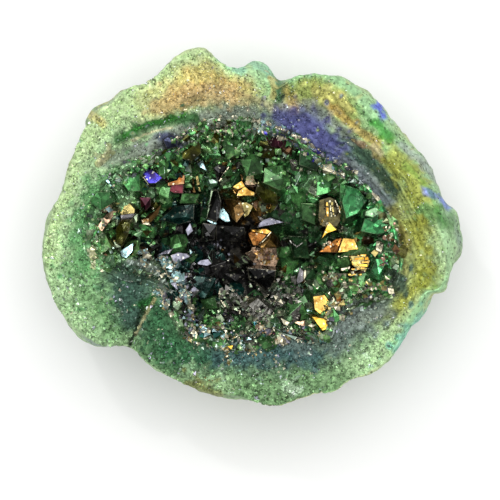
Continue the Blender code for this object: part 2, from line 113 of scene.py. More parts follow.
# Edge of the hollow seen from above, anticlockwise from the right.
HOLLOW_EDGE = (
    (26.1, -3.4), (24.6, 1.2), (22.5, 5), (19.8, 8.2), (16.3, 10.8), (11.9, 13),
    (8.3, 15.6), (3.9, 17.7), (-1.7, 18.9), (-7.4, 18.3), (-10.9, 16.2), (-13.9, 14.2),
    (-17.3, 12.6), (-21.4, 10.9), (-24.8, 8), (-27, 4.2), (-28.1, 0.2), (-27.6, -4),
    (-24.6, -7), (-20.6, -8.6), (-16.6, -9.4), (-14, -11.4), (-13.2, -14.2),
    (-12, -17), (-9.4, -19), (-5.7, -19.7), (-1.7, -20.4), (2.1, -19.4), (5.5, -18.4),
    (9.4, -18.9), (12.9, -18.9), (14.5, -16.2), (16.6, -14.1), (20.1, -13), (24.4, -11.2),
    (26.1, -7.7),
)
FLOOR_HEIGHT = 7.5
FLOOR_CENTRE = (-2.5, -2)
WALL_STEEPNESS = 0.95  # below 1 the bowl has steep sides and a broad floor
WALL_LUMP = 0.6
WALL_LUMP_SPACING = 9
WALL_LUMP_SEED = 8
NORMAL_RANGE = (0.02, 0.97)  # part of the wall on which a normal is well defined

# ---- Crystals, as the solids have them ----
CRUST_GAP = 0.45
CRUST_DEPTH = 1.8
CRUST_EDGE = 0.35  # to which the crust thins at the hollow's edge
CRUST_TAPER = 0.25  # share of the wall over which it thickens
TIP_SLOPE = 51.8  # of a point's faces from its base, in degrees
TIP_SHARE = 0.93  # of the radius, to the middle of a prism side
SHOULDER_SWING = 0.22  # unevenness of the shoulder's height, as a share of the radius
TIP_SWING = 0.22  # of the tip off its axis, as a share of the radius
CRYSTAL_SEED = 11
# Crystals that stand out: place seen from above, radius, length, lean towards +X and +Y and
# turn about the axis, in degrees.
HERO_CRYSTALS = (
    (2.2, -2, 3, 6.4, -4, 10, 15),
    (-0.6, 7.2, 2.6, 6.4, -8, -14, 40),
    (15.6, -2.4, 3.4, 6.4, -22, 6, 5),
    (17.6, -6.2, 2.7, 5.8, -26, 14, 50),
    (13, 1.4, 1.9, 6.4, -14, -6, 25),
    (14, 4.8, 2.3, 6.2, -18, -16, 10),
    (12.2, -12.6, 2.2, 5.2, -10, 22, 30),
    (12, -16, 1.7, 4, -8, 26, 10),
    (-16.4, 9.2, 2.3, 5, 20, -20, 20),
    (-12.4, 7.8, 2.4, 5.4, 16, -18, 45),
    (-20.8, 3.6, 2.4, 5, 24, -8, 12),
    (-24.2, 1.2, 1.9, 4.2, 30, -2, 34),
    (-10, 13, 2.3, 4.8, 6, -30, 22),
    (5.8, 14.2, 2.3, 4.8, -4, -32, 50),
    (-4.6, -1, 3.3, 6.2, 8, 4, 28),
    (-8.6, -4.4, 2.2, 5.2, 12, 12, 8),
    (20.2, 1.6, 3.1, 5.6, -30, -12, 33),
    (9.6, 8.6, 2.9, 5.8, -12, -24, 18),
    (3.4, 10.8, 2.7, 5.6, -4, -22, 52),
    (-5.4, 12.2, 2.6, 5.2, 4, -26, 4),
    (8.2, -5.6, 2.7, 5.8, -12, 6, 44),
    (8, 2.8, 2.5, 6.2, -10, -6, 12),
    (-10.4, 2.2, 2.6, 5.8, 14, -8, 36),
)
# The rest, filled in by size: (radius from, radius to, number of tries).
CRYSTAL_SIZES = ((2.6, 3.2, 160), (2.1, 2.6, 500), (1.8, 2.1, 420))
CRYSTAL_CROWDING = 0.74  # nearest spacing, as a share of two neighbours' radii
SMALLEST_AT_EDGE = 0.66  # share of a crystal's size left at the hollow's edge
EDGE_GROWTH = 1.6  # how fast crystals reach full size down the wall
SLANT = 0.16  # spread of a crystal's lean away from the wall's normal
UPRIGHT = 0.15  # pull of every crystal towards +Z
LENGTH_SHARES = (1.4, 2.3)  # length above the crust, as a share of the radius

# ---- Crystals that the scene adds ----
# (typical radius, spread, largest) of the crystals between the large ones.
MIDDLING_SIZES = (1.2, 0.36, 2.4)
SMALL_SIZES = (0.6, 0.38, 1.1)
BORDER_RADIUS = 0.4
SMALL_SLANT = 0.34  # spread of their lean
SMALL_LENGTHS = (1.9, 3.4)  # length as a share of the radius
SHORTEST = 0.7  # length that a crystal keeps under a plate
UNEVENNESS = 2.4  # of their shoulders and tips, against the large crystals'
PAINTED_EDGE_HIGHLIGHTS = 0.2  # share of crystals whose edge strips are painted mist pale: painted highlights
COATED_FILM = 0.3  # how far a crystal under the rim's coat mirrors

# ---- Fineness of the pieces ----
RIND_COLUMNS = 800
SKIN_ROWS = 40
FACE_ROWS = 62
WALL_ROWS = 16
GROUND_COLUMNS = 600
LIP_ROWS = 16
GROUND_ROWS = 110
GROUND_BACK_ROWS = 10
GROUND_LIP = 0.035  # share of the rim face that the ground laps over
LIP_SINK = 0.25  # of that lip's outer line into the rim
# Facets of the ground between the crystals, then pebbles on the skin: (spacing, rise, seed).
GROUND_FACETS = ((1.9, 0.7, 51), (0.8, 0.42, 52))
PEBBLES = ((2.6, 0.42, 41), (1, 0.16, 42))
PEBBLE_SINK = 0.38
FLOW_WINDOW = (-24, 62, 16)  # bearings between which flow lines run along the face, and their fade
FLOW_PITCH = 44  # of the flow lines' wave across the face, in radians
FLOW_RISE = 0.08

# ---- Colours, linear red, green and blue ----
LIGHTEST = 0.95  # to which a colour is held, so that no surface gives back more light
COAT = dict(
    sage=(0.38, 0.54, 0.3),
    pale=(0.465, 0.605, 0.315),
    leaf=(0.12, 0.265, 0.095),
    meadow=(0.21, 0.38, 0.175),
    grass=(0.16, 0.395, 0.16),
    fern=(0.135, 0.25, 0.11),
    pine=(0.04, 0.13, 0.056),
    moss=(0.035, 0.23, 0.025),
    teal=(0.045, 0.105, 0.075),
    pool=(0.052, 0.108, 0.078),
    slate=(0.07, 0.125, 0.09),
    steel=(0.105, 0.145, 0.13),
    grey=(0.21, 0.245, 0.2),
    gold=(0.59, 0.49, 0.175),
    tan=(0.44, 0.38, 0.2),
    lime=(0.335, 0.355, 0.06),
    olive=(0.215, 0.19, 0.04),
    violet=(0.09, 0.096, 0.245),
    dusk=(0.155, 0.18, 0.198),
    navy=(0.05, 0.055, 0.14),
    blue=(0.11, 0.13, 0.72),
    aqua=(0.23, 0.56, 0.42),
    mist=(0.52, 0.69, 0.48),
    cream=(0.72, 0.64, 0.4),
    rust=(0.33, 0.2, 0.11),
    apricot=(0.62, 0.43, 0.2),
    pitch=(0.01, 0.02, 0.01),
    spring=(0.3, 0.53, 0.27),
    bottle=(0.022, 0.11, 0.024),
    ochre=(0.46, 0.31, 0.09),
    lagoon=(0.052, 0.115, 0.118),
    pearl=(0.33, 0.38, 0.35),
)
# Slow patches of hue on the skin: (colour, strength, spacing, seed, threshold).
SKIN_PATCHES = (("teal", 0.55, 16, 35, 0), ("gold", 0.5, 13, 36, 0.35), ("violet", 0.55, 11, 37, 0.75))
# Bands of the coat's colour that follow the rim: (colour, half width across the face,
# strength, path of (bearing in degrees, place across the face)).
RIM_BANDS = (
    ("spring", 0.55, 0.85, (12, 0.1), (60, 0.1), (86, 0.1), (94, 0.04)),
    ("pale", 0.3, 0.9, (92, 0.05), (112, 0.08), (150, 0.1), (190, 0.04)),
    ("fern", 0.75, 0.9, (222, 0.35), (238, 0.3), (262, 0.25), (290, 0.2), (309, 0.1)),
    ("pine", 0.5, 0.98, (224, 0.5), (238, 0.55), (256, 0.7)),
    ("slate", 0.38, 0.92, (250, 0.95), (270, 0.85), (286, 0.8), (302, 0.88)),
    ("steel", 0.36, 0.9, (296, 0.92), (310, 0.8), (324, 0.86), (332, 0.95)),
    ("meadow", 0.28, 0.9, (160, 1), (176, 0.88), (196, 0.68), (208, 0.45)),
    ("meadow", 0.42, 0.85, (190, 0.62), (205, 0.58), (220, 0.45)),
    ("pool", 0.34, 0.95, (201, 1), (208, 0.86), (216, 0.74), (221, 0.6)),
    ("gold", 0.26, 0.92, (88, 0.32), (104, 0.42), (118, 0.4), (128, 0.34)),
    ("tan", 0.16, 0.7, (60, 0.52), (78, 0.54), (92, 0.58), (104, 0.6), (118, 0.56)),
    ("grey", 0.18, 0.92, (80, 0.9), (92, 0.84), (106, 0.92), (124, 0.96), (140, 0.9), (150, 0.92)),
    ("lime", 0.42, 0.95, (-33, 0.46), (-24, 0.5), (-14, 0.46), (0, 0.5), (8, 0.48)),
    ("lime", 0.28, 0.88, (12, 0.42), (24, 0.34), (34, 0.32)),
    ("lime", 0.22, 0.78, (40, 0.3), (58, 0.28), (74, 0.3)),
    ("olive", 0.14, 0.9, (-22, 1), (-4, 0.92), (6, 0.86), (16, 0.7)),
    ("steel", 0.14, 0.9, (10, 1), (24, 0.96), (34, 0.95)),
    ("violet", 0.32, 0.94, (34, 0.92), (46, 0.82), (60, 0.8), (70, 0.82), (78, 0.88)),
)
# Strokes of colour on the rim and the shoulders: (colour, half width, strength, path of (x, y)).
STROKES = (
    ("apricot", 1.8, 0.55, (-15.6, 20.8), (-9.8, 23), (-3.2, 23.2)),
    ("gold", 1.6, 0.45, (12, 23.4), (16.4, 21)),
    ("ochre", 0.9, 0.55, (6, 23.8), (7.6, 20.6)),
    ("ochre", 0.9, 0.7, (14, 20.6), (18, 17.4), (19.8, 15.8), (21.6, 14.6)),
    ("leaf", 0.45, 0.6, (17, 22), (19.6, 19.6), (21.2, 17.8)),
    ("grey", 1.1, 0.75, (10.4, 21.4), (14.6, 18), (18.2, 14.8)),
    ("violet", 2, 0.88, (5, 19.4), (9.4, 17.8), (13.5, 15.1), (15.8, 13.2)),
    ("dusk", 1.4, 0.88, (16.2, 12.4), (20, 9.2), (23.2, 5)),
    ("pool", 1.4, 0.92, (18.6, 13.6), (22.1, 10.4), (24.6, 7.2)),
    ("rust", 0.7, 0.55, (21.6, 12.9), (22.6, 12)),
    ("lime", 2.2, 0.85, (24.6, 12.4), (27.2, 9.6), (29.4, 6), (30, 2.4)),
    ("pearl", 0.7, 0.75, (25.8, 14.6), (29.2, 11.8), (32.4, 8.4)),
    ("blue", 0.8, 0.85, (22, 21.2), (22.6, 19.4)),
    ("moss", 1, 0.85, (21.6, 18.2), (22.5, 16.9), (23.6, 16)),
    ("blue", 0.7, 0.6, (29.8, 6.6), (31.2, 5.8)),
    ("blue", 0.7, 0.6, (32.6, 5.2), (34, 4)),
    ("aqua", 1.5, 0.85, (30.6, -14.6), (28.8, -16.4), (26.9, -18.6), (25.4, -20.4)),
    ("lagoon", 2, 0.8, (-9, -22.4), (0, -21.6), (5, -20.4), (10.6, -21.8)),
    ("sage", 2.4, 0.6, (33, 0), (33.4, -6)),
    ("leaf", 1.6, 0.85, (30, 3.4), (33.4, 1.4)),
    ("mist", 1.8, 0.4, (26, 20), (30, 15)),
    ("aqua", 0.9, 0.6, (-4.6, 29.2), (-1.4, 27)),
    ("aqua", 1, 0.45, (0.6, 28.4), (3.4, 27)),
    ("pine", 0.7, 0.8, (4.9, 26.6), (4.7, 22.4)),
    ("gold", 0.6, 0.6, (3.9, 25.4), (3.9, 22.6)),
    ("gold", 0.9, 0.6, (-27.6, 20), (-25.2, 18.2)),
    ("pool", 3.2, 0.92, (-21.6, -7.8), (-20.4, -10.5), (-19.4, -14.3)),
    ("pool", 2.2, 0.8, (-21.6, -10.5), (-20.6, -13.5), (-19.4, -15.6)),
    ("pine", 2.6, 0.85, (-16, -13.8), (-13.8, -19.6), (-9, -22.6)),
    ("leaf", 1.6, 0.45, (-25, -13.6), (-23, -17.6)),
    ("bottle", 0.9, 0.85, (-18.2, -12.6), (-16.8, -11.6)),
    ("pearl", 0.7, 0.75, (-21, -4.8), (-19.2, -5.5), (-17.3, -6.3), (-15.3, -7.6), (-14.2, -9.2),
     (-13.4, -11.2)),
    ("tan", 0.28, 0.62, (-16.2, -11.6), (-17.5, -14.2), (-18.4, -15.8), (-19.3, -17.8)),
    ("pitch", 0.42, 0.9, (-18.6, -13.8), (-19.4, -16.6), (-20.6, -20.1)),
    ("steel", 1.5, 0.75, (5.4, -18.6), (9.4, -20.4)),
    ("steel", 2.4, 0.7, (14.8, -16.6), (19, -15.4), (22.6, -13.6)),
    ("pearl", 1.8, 0.32, (15.6, -16.2), (21, -14.2)),
    ("slate", 1.6, 0.9, (24.2, -7), (25.6, -9.6)),
    ("bottle", 0.9, 0.88, (-22.5, 15.3), (-19, 17.1), (-16.4, 18), (-13, 18.7), (-9.4, 19.2)),
    ("moss", 0.4, 0.6, (-21.4, 16), (-17, 18.1), (-11, 19.6)),
    ("cream", 0.24, 0.65, (-20.3, 15.3), (-16.4, 16.9), (-13.3, 17.3)),
    ("navy", 1.7, 0.85, (-14.6, 15.4), (-13, 14.8)),
    ("grey", 1.4, 0.8, (-24.4, 11.4), (-20.4, 13.2), (-16.4, 14.4)),
    ("grass", 2.6, 0.82, (-22.4, 8.6), (-25.4, 6.6), (-27, 3), (-28, -1), (-27.4, -5)),
    ("tan", 0.7, 0.6, (-24, 13.2), (-25.8, 11.4)),
    ("sage", 2.2, 0.42, (-10.5, -24.6), (-5, -26.2)),
    ("olive", 1.4, 0.6, (-10, -26.6), (-5.5, -28.4)),
    ("mist", 1, 0.75, (6.4, -27), (7.8, -27.4)),
    ("mist", 0.4, 0.7, (19.7, -21.3), (20.2, -21.7)),
    ("moss", 0.4, 0.4, (26, 11.6), (30.4, 6.8), (32.6, 1.6)),
    ("cream", 0.5, 0.5, (21, 14.4), (22.4, 13)),
    ("cream", 0.45, 0.7, (-27.2, -3.4), (-26.6, -6.4)),
    ("rust", 0.5, 0.6, (18.6, 15), (20.2, 14.2)),
)

# Places in the hollow where crystals take the rim's coat: (x, y, reach).
DRUSE_ZONES = (
    (-20.9, -7.9, 3), (-17.9, -7.6, 2.6), (-15, -9.4, 1.4), (-26.8, -2.5, 2.6), (-26.6, 3, 3.4),
    (-23.6, 7.6, 4), (24.6, 3.4, 1.4), (24.9, -8.4, 1.9),
)
# Places in the hollow where no small crystals stand: (x, y, reach).
BARE_ZONES = (
    (-20.9, -8, 3.2), (-17.9, -7.8, 2.7), (12.4, -19.2, 1.8), (24.6, -9.4, 1.6), (21.6, 7.6, 1.8),
    (10, 15.4, 1.6), (-22.8, 7.4, 3), (-26, 1, 2.6), (24.9, -8, 2),
)

# ==== Shape of the geode, as the solids have it ====
def polar_curve(points, theta):
    """Radius at each bearing of a smooth closed outline through the points.

    A cubic Hermite curve in the bearing, with slopes from each point's two neighbours.
    """
    xy = np.array(points)
    bearing = np.arctan2(xy[:, 1], xy[:, 0]) % (2 * math.pi)
    order = np.argsort(bearing)
    bearing, radius = bearing[order], np.hypot(xy[:, 0], xy[:, 1])[order]
    bearing = np.concatenate([bearing[-2:] - 2 * math.pi, bearing, bearing[:2] + 2 * math.pi])
    radius = np.concatenate([radius[-2:], radius, radius[:2]])
    slope = np.zeros_like(radius)
    slope[1:-1] = (radius[2:] - radius[:-2]) / (bearing[2:] - bearing[:-2])
    turn = np.asarray(theta) % (2 * math.pi)
    i = np.clip(np.searchsorted(bearing, turn, side="right") - 1, 1, len(bearing) - 3)
    span = bearing[i + 1] - bearing[i]
    u = (turn - bearing[i]) / span
    return (
        radius[i] * (1 + 2 * u) * (1 - u) ** 2
        + radius[i + 1] * u * u * (3 - 2 * u)
        + span * (slope[i] * u * (1 - u) ** 2 - slope[i + 1] * u * u * (1 - u))
    )


def waves(points, spacing, seed, count=16):
    """Smooth random field of unit strength: a sum of plane waves in random directions."""
    rng = np.random.default_rng(seed)
    heading = rng.normal(size=(count, 3))
    heading /= np.linalg.norm(heading, axis=1, keepdims=True)
    pitch = 2 * math.pi / spacing * rng.uniform(0.7, 1.35, count)
    phase = rng.uniform(0, 2 * math.pi, count)
    return np.cos(points @ (heading * pitch[:, None]).T + phase).sum(-1) * math.sqrt(2 / count)


def bump(theta, bearing, half_width):
    """Hump of height 1 round a bearing in degrees: a Gaussian of that half width."""
    off = (np.degrees(theta) - bearing + 180) % 360 - 180
    return np.exp(-((off / half_width) ** 2))


def window(theta, start, end, fade=7.0):
    """1 between two bearings in degrees and 0 outside them, with a logistic step at each."""
    middle, half = (start + end) / 2, (end - start) / 2
    off = np.abs((np.degrees(theta) - middle + 180) % 360 - 180)
    return 1 / (1 + np.exp((off - half) / (fade / 4)))


def distance_to_path(x, y, path):
    """Distance in plan from each point to a path of straight runs."""
    nearest = np.full(np.shape(x), np.inf)
    for (ax, ay), (bx, by) in zip(path, path[1:]):
        run_x, run_y = bx - ax, by - ay
        share = ((x - ax) * run_x + (y - ay) * run_y) / (run_x**2 + run_y**2)
        share = np.clip(share, 0, 1)
        nearest = np.minimum(nearest, np.hypot(x - ax - share * run_x, y - ay - share * run_y))
    return nearest


def ring_points(theta, radius, height, centre=(0.0, 0.0)):
    """Points at a bearing, radius and height round a centre in plan."""
    x = centre[0] + radius * np.cos(theta)
    y = centre[1] + radius * np.sin(theta)
    return np.stack(np.broadcast_arrays(x, y, height), axis=-1)


def crest_inset(theta):
    """How far the crest stands inside the girth: a least inset and a hump at each shoulder."""
    inset = SHOULDER_MIN
    for bearing, half_width, extra in SHOULDERS:
        inset = inset + extra * bump(theta, bearing, half_width)
    return inset


def even_girth(theta):
    """The girth with its lobes evened out: the mean of bearings on both sides."""
    offsets = np.radians(np.linspace(-GIRTH_SPREAD, GIRTH_SPREAD, GIRTH_SAMPLES))
    return sum(polar_curve(GIRTH, theta + offset) for offset in offsets) / len(offsets)


def crest_height(theta):
    """Height of the rim's crest: a mean, a tilt and two cosines that roll round the rim."""
    tilt = RIM_TILT * np.cos(theta - math.radians(RIM_TILT_BEARING))
    roll = RIM_ROLL * sum(share * np.cos(count * theta + phase) for share, count, phase in RIM_ROLL_WAVES)
    return RIM_HEIGHT + tilt + roll


def skin_surface(theta, climb):
    """Outer skin: climb 0 is the edge of the resting flat, 1 the crest of the rim.

    A quarter ellipse from the flat out to the girth, then another in to the crest, swollen
    by lumps that fade out at the flat and the crest.
    """
    low = np.clip(climb / BELLY_CLIMB, 0, 1) * math.pi / 2
    high = np.clip((climb - BELLY_CLIMB) / (1 - BELLY_CLIMB), 0, 1) * math.pi / 2
    even = even_girth(theta)
    girth = even + (polar_curve(GIRTH, theta) - even) * np.sin(low) ** 3
    top = crest_height(theta)
    belly = BELLY_SHARE * top
    foot = FOOT_SHARE * even
    radius = foot + (girth - foot) * np.sin(low) - crest_inset(theta) * (1 - np.cos(high))
    height = belly * (1 - np.cos(low)) + (top - belly) * np.sin(high)
    points = ring_points(theta, radius, height)
    fade = np.sin(math.pi * np.clip(climb, 0, 1)) ** 1.5
    swell = sum(
        size * (np.tanh(waves(points, spacing, seed)) - SWELL_OFFSET)
        for size, spacing, seed in SKIN_LUMPS
    )
    return ring_points(theta, radius + fade * swell, height)


def face_surface(theta, across):
    """Broken rim face: across 0 is the crest, 1 the edge of the hollow.

    A straight run in plan whose height falls away inwards, with ledges, lumps and cracks.
    """
    outer = skin_surface(theta, np.ones_like(across))
    inner_radius = polar_curve(HOLLOW_EDGE, theta)
    outer_radius = np.hypot(outer[..., 0], outer[..., 1])
    radius = outer_radius + (inner_radius - outer_radius) * across
    swing = np.cos(theta - math.radians(RIM_DROP_BEARING))
    height = outer[..., 2] - (RIM_DROP + RIM_DROP_SWING * swing) * across**RIM_DROP_POWER
    flat = ring_points(theta, radius, height)
    for start, end, place, width, rise in RIM_LEDGES:
        height = height + rise * window(theta, start, end) * np.exp(-(((across - place) / width) ** 2))
    inward = np.sin(math.pi * across) ** 0.5
    lumps = sum(rise * waves(flat, spacing, seed) for rise, spacing, seed in RIM_LUMPS)
    height = height + (LUMPS_AT_EDGES + (1 - LUMPS_AT_EDGES) * inward) * lumps
    for path in CRACKS:
        away = distance_to_path(flat[..., 0], flat[..., 1], path)
        height = height - CRACK_DEPTH * np.exp(-((away / CRACK_WIDTH) ** 2))
    return ring_points(theta, radius, height)


def wall_surface(theta, down):
    """Wall of the hollow: down 0 is its edge, 1 the middle of its floor.

    A bowl whose section is a superellipse, drawn towards a floor centre off the axis.
    """
    edge = face_surface(theta, np.ones_like(down))
    edge_radius = np.hypot(edge[..., 0], edge[..., 1])
    angle = down * math.pi / 2
    radius = edge_radius * np.cos(angle) ** WALL_STEEPNESS
    sink = np.sin(angle) ** WALL_STEEPNESS
    drift = down**2
    height = edge[..., 2] - (edge[..., 2] - FLOOR_HEIGHT) * sink
    points = ring_points(theta, radius, height, (FLOOR_CENTRE[0] * drift, FLOOR_CENTRE[1] * drift))
    lump = WALL_LUMP * np.sin(math.pi * down) * waves(points, WALL_LUMP_SPACING, WALL_LUMP_SEED)
    level = np.cos(angle)
    inward = np.stack([-np.cos(theta) * level, -np.sin(theta) * level, np.sin(angle)], -1)
    return points + inward * lump[..., None]


def unit(vectors):
    """Vectors at length 1."""
    return vectors / np.maximum(np.linalg.norm(vectors, axis=-1, keepdims=True), 1e-12)


def surface_normals(surface, theta, station):
    """Unit normals from the cross product of small steps round and along a surface."""
    step = 1e-3
    low, high = np.clip(station - step, 0, 1), np.clip(station + step, 0, 1)
    run_along = surface(theta, high) - surface(theta, low)
    run_round = surface(theta + step, station) - surface(theta - step, station)
    return unit(np.cross(run_round, run_along))


def wall_normals(theta, down):
    """Normals of the hollow's wall, into the hollow, kept off its edge and its middle."""
    return surface_normals(wall_surface, theta, np.clip(down, *NORMAL_RANGE))


def face_normals(theta, across):
    """Normals of the rim face, kept off its crest and the hollow's edge."""
    return surface_normals(face_surface, theta, np.clip(across, 0.01, 0.99))


def crust_depth(down):
    """Depth of the crust on the wall: thin at the hollow's edge, full once the taper ends."""
    return CRUST_GAP + CRUST_EDGE + (CRUST_DEPTH - CRUST_EDGE) * np.clip(down / CRUST_TAPER, 0, 1)


def crust_points(theta, down):
    """(points, normals) of the crust's face: the wall moved along its normals by the depth."""
    normals = wall_normals(theta, down)
    return wall_surface(theta, down) + normals * crust_depth(down)[:, None], normals


# ==== Fields and meshes ====
def mixed_bits(number):
    """Scrambled 32-bit whole numbers: two rounds of shift, exclusive or and multiply."""
    number = number & 0xFFFFFFFF
    number = ((number ^ (number >> 15)) * 0x2C1B3C6D) & 0xFFFFFFFF
    return ((number ^ (number >> 12)) * 0x297A2D39) & 0xFFFFFFFF


def nearest_seeds(points, spacing, seed):
    """(offset from the nearest seed point in spacings, six numbers from 0 to 1 of that seed).

    One seed point is jittered in each cube of a lattice by an integer hash of the cube, and
    the nearest is looked for in the 27 cubes round each point.
    """
    scaled = points / spacing
    cube = np.floor(scaled).astype(np.int64)
    least = np.full(points.shape[:-1], np.inf)
    offset = np.zeros(points.shape)
    winner = np.zeros(points.shape[:-1], np.int64)
    steps = (-1, 0, 1)
    for shift in ((i, j, k) for i in steps for j in steps for k in steps):
        here = cube + shift
        state = here[..., 0] * 73856093 ^ here[..., 1] * 19349663 ^ here[..., 2] * 83492791
        state = mixed_bits(state ^ seed * 2654435761)
        jitter = []
        for _ in range(3):
            state = mixed_bits(state)
            jitter.append(state / 0xFFFFFFFF)
        away = scaled - here - np.stack(jitter, -1)
        square = (away**2).sum(-1)
        closer = square < least
        least = np.where(closer, square, least)
        offset = np.where(closer[..., None], away, offset)
        winner = np.where(closer, state, winner)
    numbers = []
    for _ in range(6):
        winner = mixed_bits(winner)
        numbers.append(winner / 0xFFFFFFFF)
    return offset, np.stack(numbers, -1)


def domes(points, spacing, seed):
    """Height from 0 to 1 of domes over random cells: 1 less the squared distance."""
    offset, _ = nearest_seeds(points, spacing, seed)
    return np.clip(1 - (offset**2).sum(-1), 0, 1)


def facets(points, spacing, seed):
    """Height of random flat facets: each cell has a level and a slope of its own."""
    offset, numbers = nearest_seeds(points, spacing, seed)
    return (offset * (numbers[..., :3] - 0.5) * 1.8).sum(-1) + numbers[..., 3]


def ring_faces(rows, columns):
    """Quads between rows of points that close on themselves, and a fan at each end."""
    row, column = np.meshgrid(np.arange(rows - 1), np.arange(columns), indexing="ij")
    beside = (column + 1) % columns
    low, high = row * columns, (row + 1) * columns
    quads = np.stack([low + column, low + beside, high + beside, high + column], -1).reshape(-1, 4)
    column = np.arange(columns)
    beside = (column + 1) % columns
    first, last = rows * columns, rows * columns + 1
    end = (rows - 1) * columns
    caps = np.concatenate([
        np.stack([np.full(columns, first), beside, column], -1),
        np.stack([np.full(columns, last), end + column, end + beside], -1),
    ])
    return quads, caps


ATTRIBUTE_TYPES = {1: ("FLOAT", "value"), 2: ("FLOAT2", "vector"), 3: ("FLOAT_COLOR", "color")}


def put_mesh(name, vertices, face_groups, attributes=(), smooth=False):
    """An object at the origin from arrays: vertices in millimetres and groups of faces.

    Each group is an array of faces with one number of corners. An attribute is (name, domain,
    values): one number, a pair, or a colour for each element.
    """
    mesh = bpy.data.meshes.new(name)
    loops = np.concatenate([group.reshape(-1) for group in face_groups]).astype(np.int32)
    sizes = np.concatenate([np.full(len(group), group.shape[1]) for group in face_groups])
    starts = np.concatenate([[0], np.cumsum(sizes)[:-1]]).astype(np.int32)
    mesh.vertices.add(len(vertices))
    mesh.vertices.foreach_set("co", (np.asarray(vertices) * MM).astype(np.float32).ravel())
    mesh.loops.add(len(loops))
    mesh.loops.foreach_set("vertex_index", loops)
    mesh.polygons.add(len(sizes))
    mesh.polygons.foreach_set("loop_start", starts)
    mesh.polygons.foreach_set("use_smooth", np.full(len(sizes), smooth))
    mesh.update(calc_edges=True)
    mesh.validate()
    for label, domain, values in attributes:
        values = np.asarray(values, np.float32).reshape(len(values), -1)
        kind, field = ATTRIBUTE_TYPES[values.shape[1]]
        if kind == "FLOAT_COLOR":
            values = np.concatenate([values, np.ones((len(values), 1), np.float32)], axis=1)
        mesh.attributes.new(label, kind, domain).data.foreach_set(field, values.ravel())
    return add_object(name, mesh)


def add_object(name, data):
    """A new object in the scene with that mesh, light or camera."""
    obj = bpy.data.objects.new(name, data)
    bpy.context.scene.collection.objects.link(obj)
    return obj


def finish_piece(obj, material, slot, *nodes):
    """Gives a piece its material and body, and hides the solids of the nodes that it stands for. The slot
    is not used.
    """
    obj.data.materials.append(material)
    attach(obj, "root")
    if nodes:
        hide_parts(*nodes)


# ==== Colour over the rim and skin ====
def blend_colour(colours, name, share):
    """Colours moved towards a named coat colour by a share for each point."""
    share = np.clip(share, 0, 1)[..., None]
    return colours * (1 - share) + np.array(COAT[name]) * share


def rim_colour(points, theta, across):
    """Coat colour on the rim face: sage, with bands along the rim, then strokes.

    Each band is a rounded step across the face round a path in bearing. Waves shift the bearing
    and the place across, so that no band has a ruled edge.
    """
    shift = 0.040 * waves(points, 5.0, 31) + 0.020 * waves(points, 1.7, 32)
    degrees = np.degrees(theta) + 2.5 * waves(points, 6.0, 33)
    place = across + shift
    colours = np.broadcast_to(np.array(COAT["sage"]), (*place.shape, 3)).copy()
    for name, width, strength, *path in RIM_BANDS:
        bearings, places = np.array(path).T
        middle = (bearings[0] + bearings[-1]) / 2
        bearing = (degrees - middle + 180) % 360 - 180 + middle
        centre = np.interp(bearing, bearings, places)
        share = strength * window(np.radians(bearing), bearings[0], bearings[-1], 11.0)
        colours = blend_colour(colours, name, share * np.exp(-(np.abs((place - centre) / width) ** 3)))
    return stroke_colour(colours, points)


def stroke_colour(colours, points):
    """Adds the strokes: each falls off with the distance from its path, frayed by waves."""
    fray = 1 + 0.30 * waves(points, 2.0, 34)
    for name, width, strength, *path in STROKES:
        away = distance_to_path(points[..., 0], points[..., 1], path) * fray
        colours = blend_colour(colours, name, strength * np.exp(-((away / width) ** 4)))
    return colours


def skin_colour(points, climb):
    """Coat colour on the skin: pale at the shoulder, darker below, with slow patches of hue.

    The strokes fade out below the girth, where the skin turns under them.
    """
    colours = np.broadcast_to(np.array(COAT["sage"]), (*points.shape[:-1], 3)).copy()
    colours = blend_colour(colours, "leaf", 0.85 * (1 - climb))
    for name, strength, spacing, seed, threshold in SKIN_PATCHES:
        patches = np.clip(waves(points, spacing, seed) - threshold, 0, 1)
        colours = blend_colour(colours, name, strength * patches)
    theta = np.arctan2(points[..., 1], points[..., 0])
    shoulder = np.clip((climb - 0.72) / 0.2, 0, 1)
    colours = blend_colour(colours, "pale", 0.8 * shoulder * (1 - bump(theta, 245, 55)))
    colours = blend_colour(colours, "spring", 0.9 * shoulder * window(theta, -40, 90, 14))
    above_girth = np.clip((climb - 0.55) / 0.15, 0, 1)[..., None]
    return colours + (stroke_colour(colours, points) - colours) * above_girth


# ==== Materials ====
class Signal:
    """A socket of a material, with arithmetic that adds Math nodes."""

    def __init__(self, finish, socket):
        self.finish = finish
        self.socket = socket

    def maths(self, operation, *values, clamp=False):
        """A Math node on those values."""
        settings = {"operation": operation, "use_clamp": clamp}
        return self.finish.node("ShaderNodeMath", settings, dict(enumerate(values)))

    def __add__(self, other):
        return self.maths("ADD", self, other)

    def __sub__(self, other):
        return self.maths("SUBTRACT", self, other)

    def __rsub__(self, other):
        return self.maths("SUBTRACT", other, self)

    def __mul__(self, other):
        return self.maths("MULTIPLY", self, other)

    __radd__ = __add__
    __rmul__ = __mul__

    def sine(self):
        """The sine of the value, as radians."""
        return self.maths("SINE", self)

    def held(self):
        """The value kept between 0 and 1."""
        return self.maths("ADD", self, 0.0, clamp=True)

    def ramp(self, low, high, start=0.0, end=1.0):
        """start below low, end above high, and a smooth step between."""
        settings = {"interpolation_type": "SMOOTHSTEP"}
        values = {0: self, 1: low, 2: high, 3: start, 4: end}
        return self.finish.node("ShaderNodeMapRange", settings, values)


NOISE_ROUGHNESS = 0.55


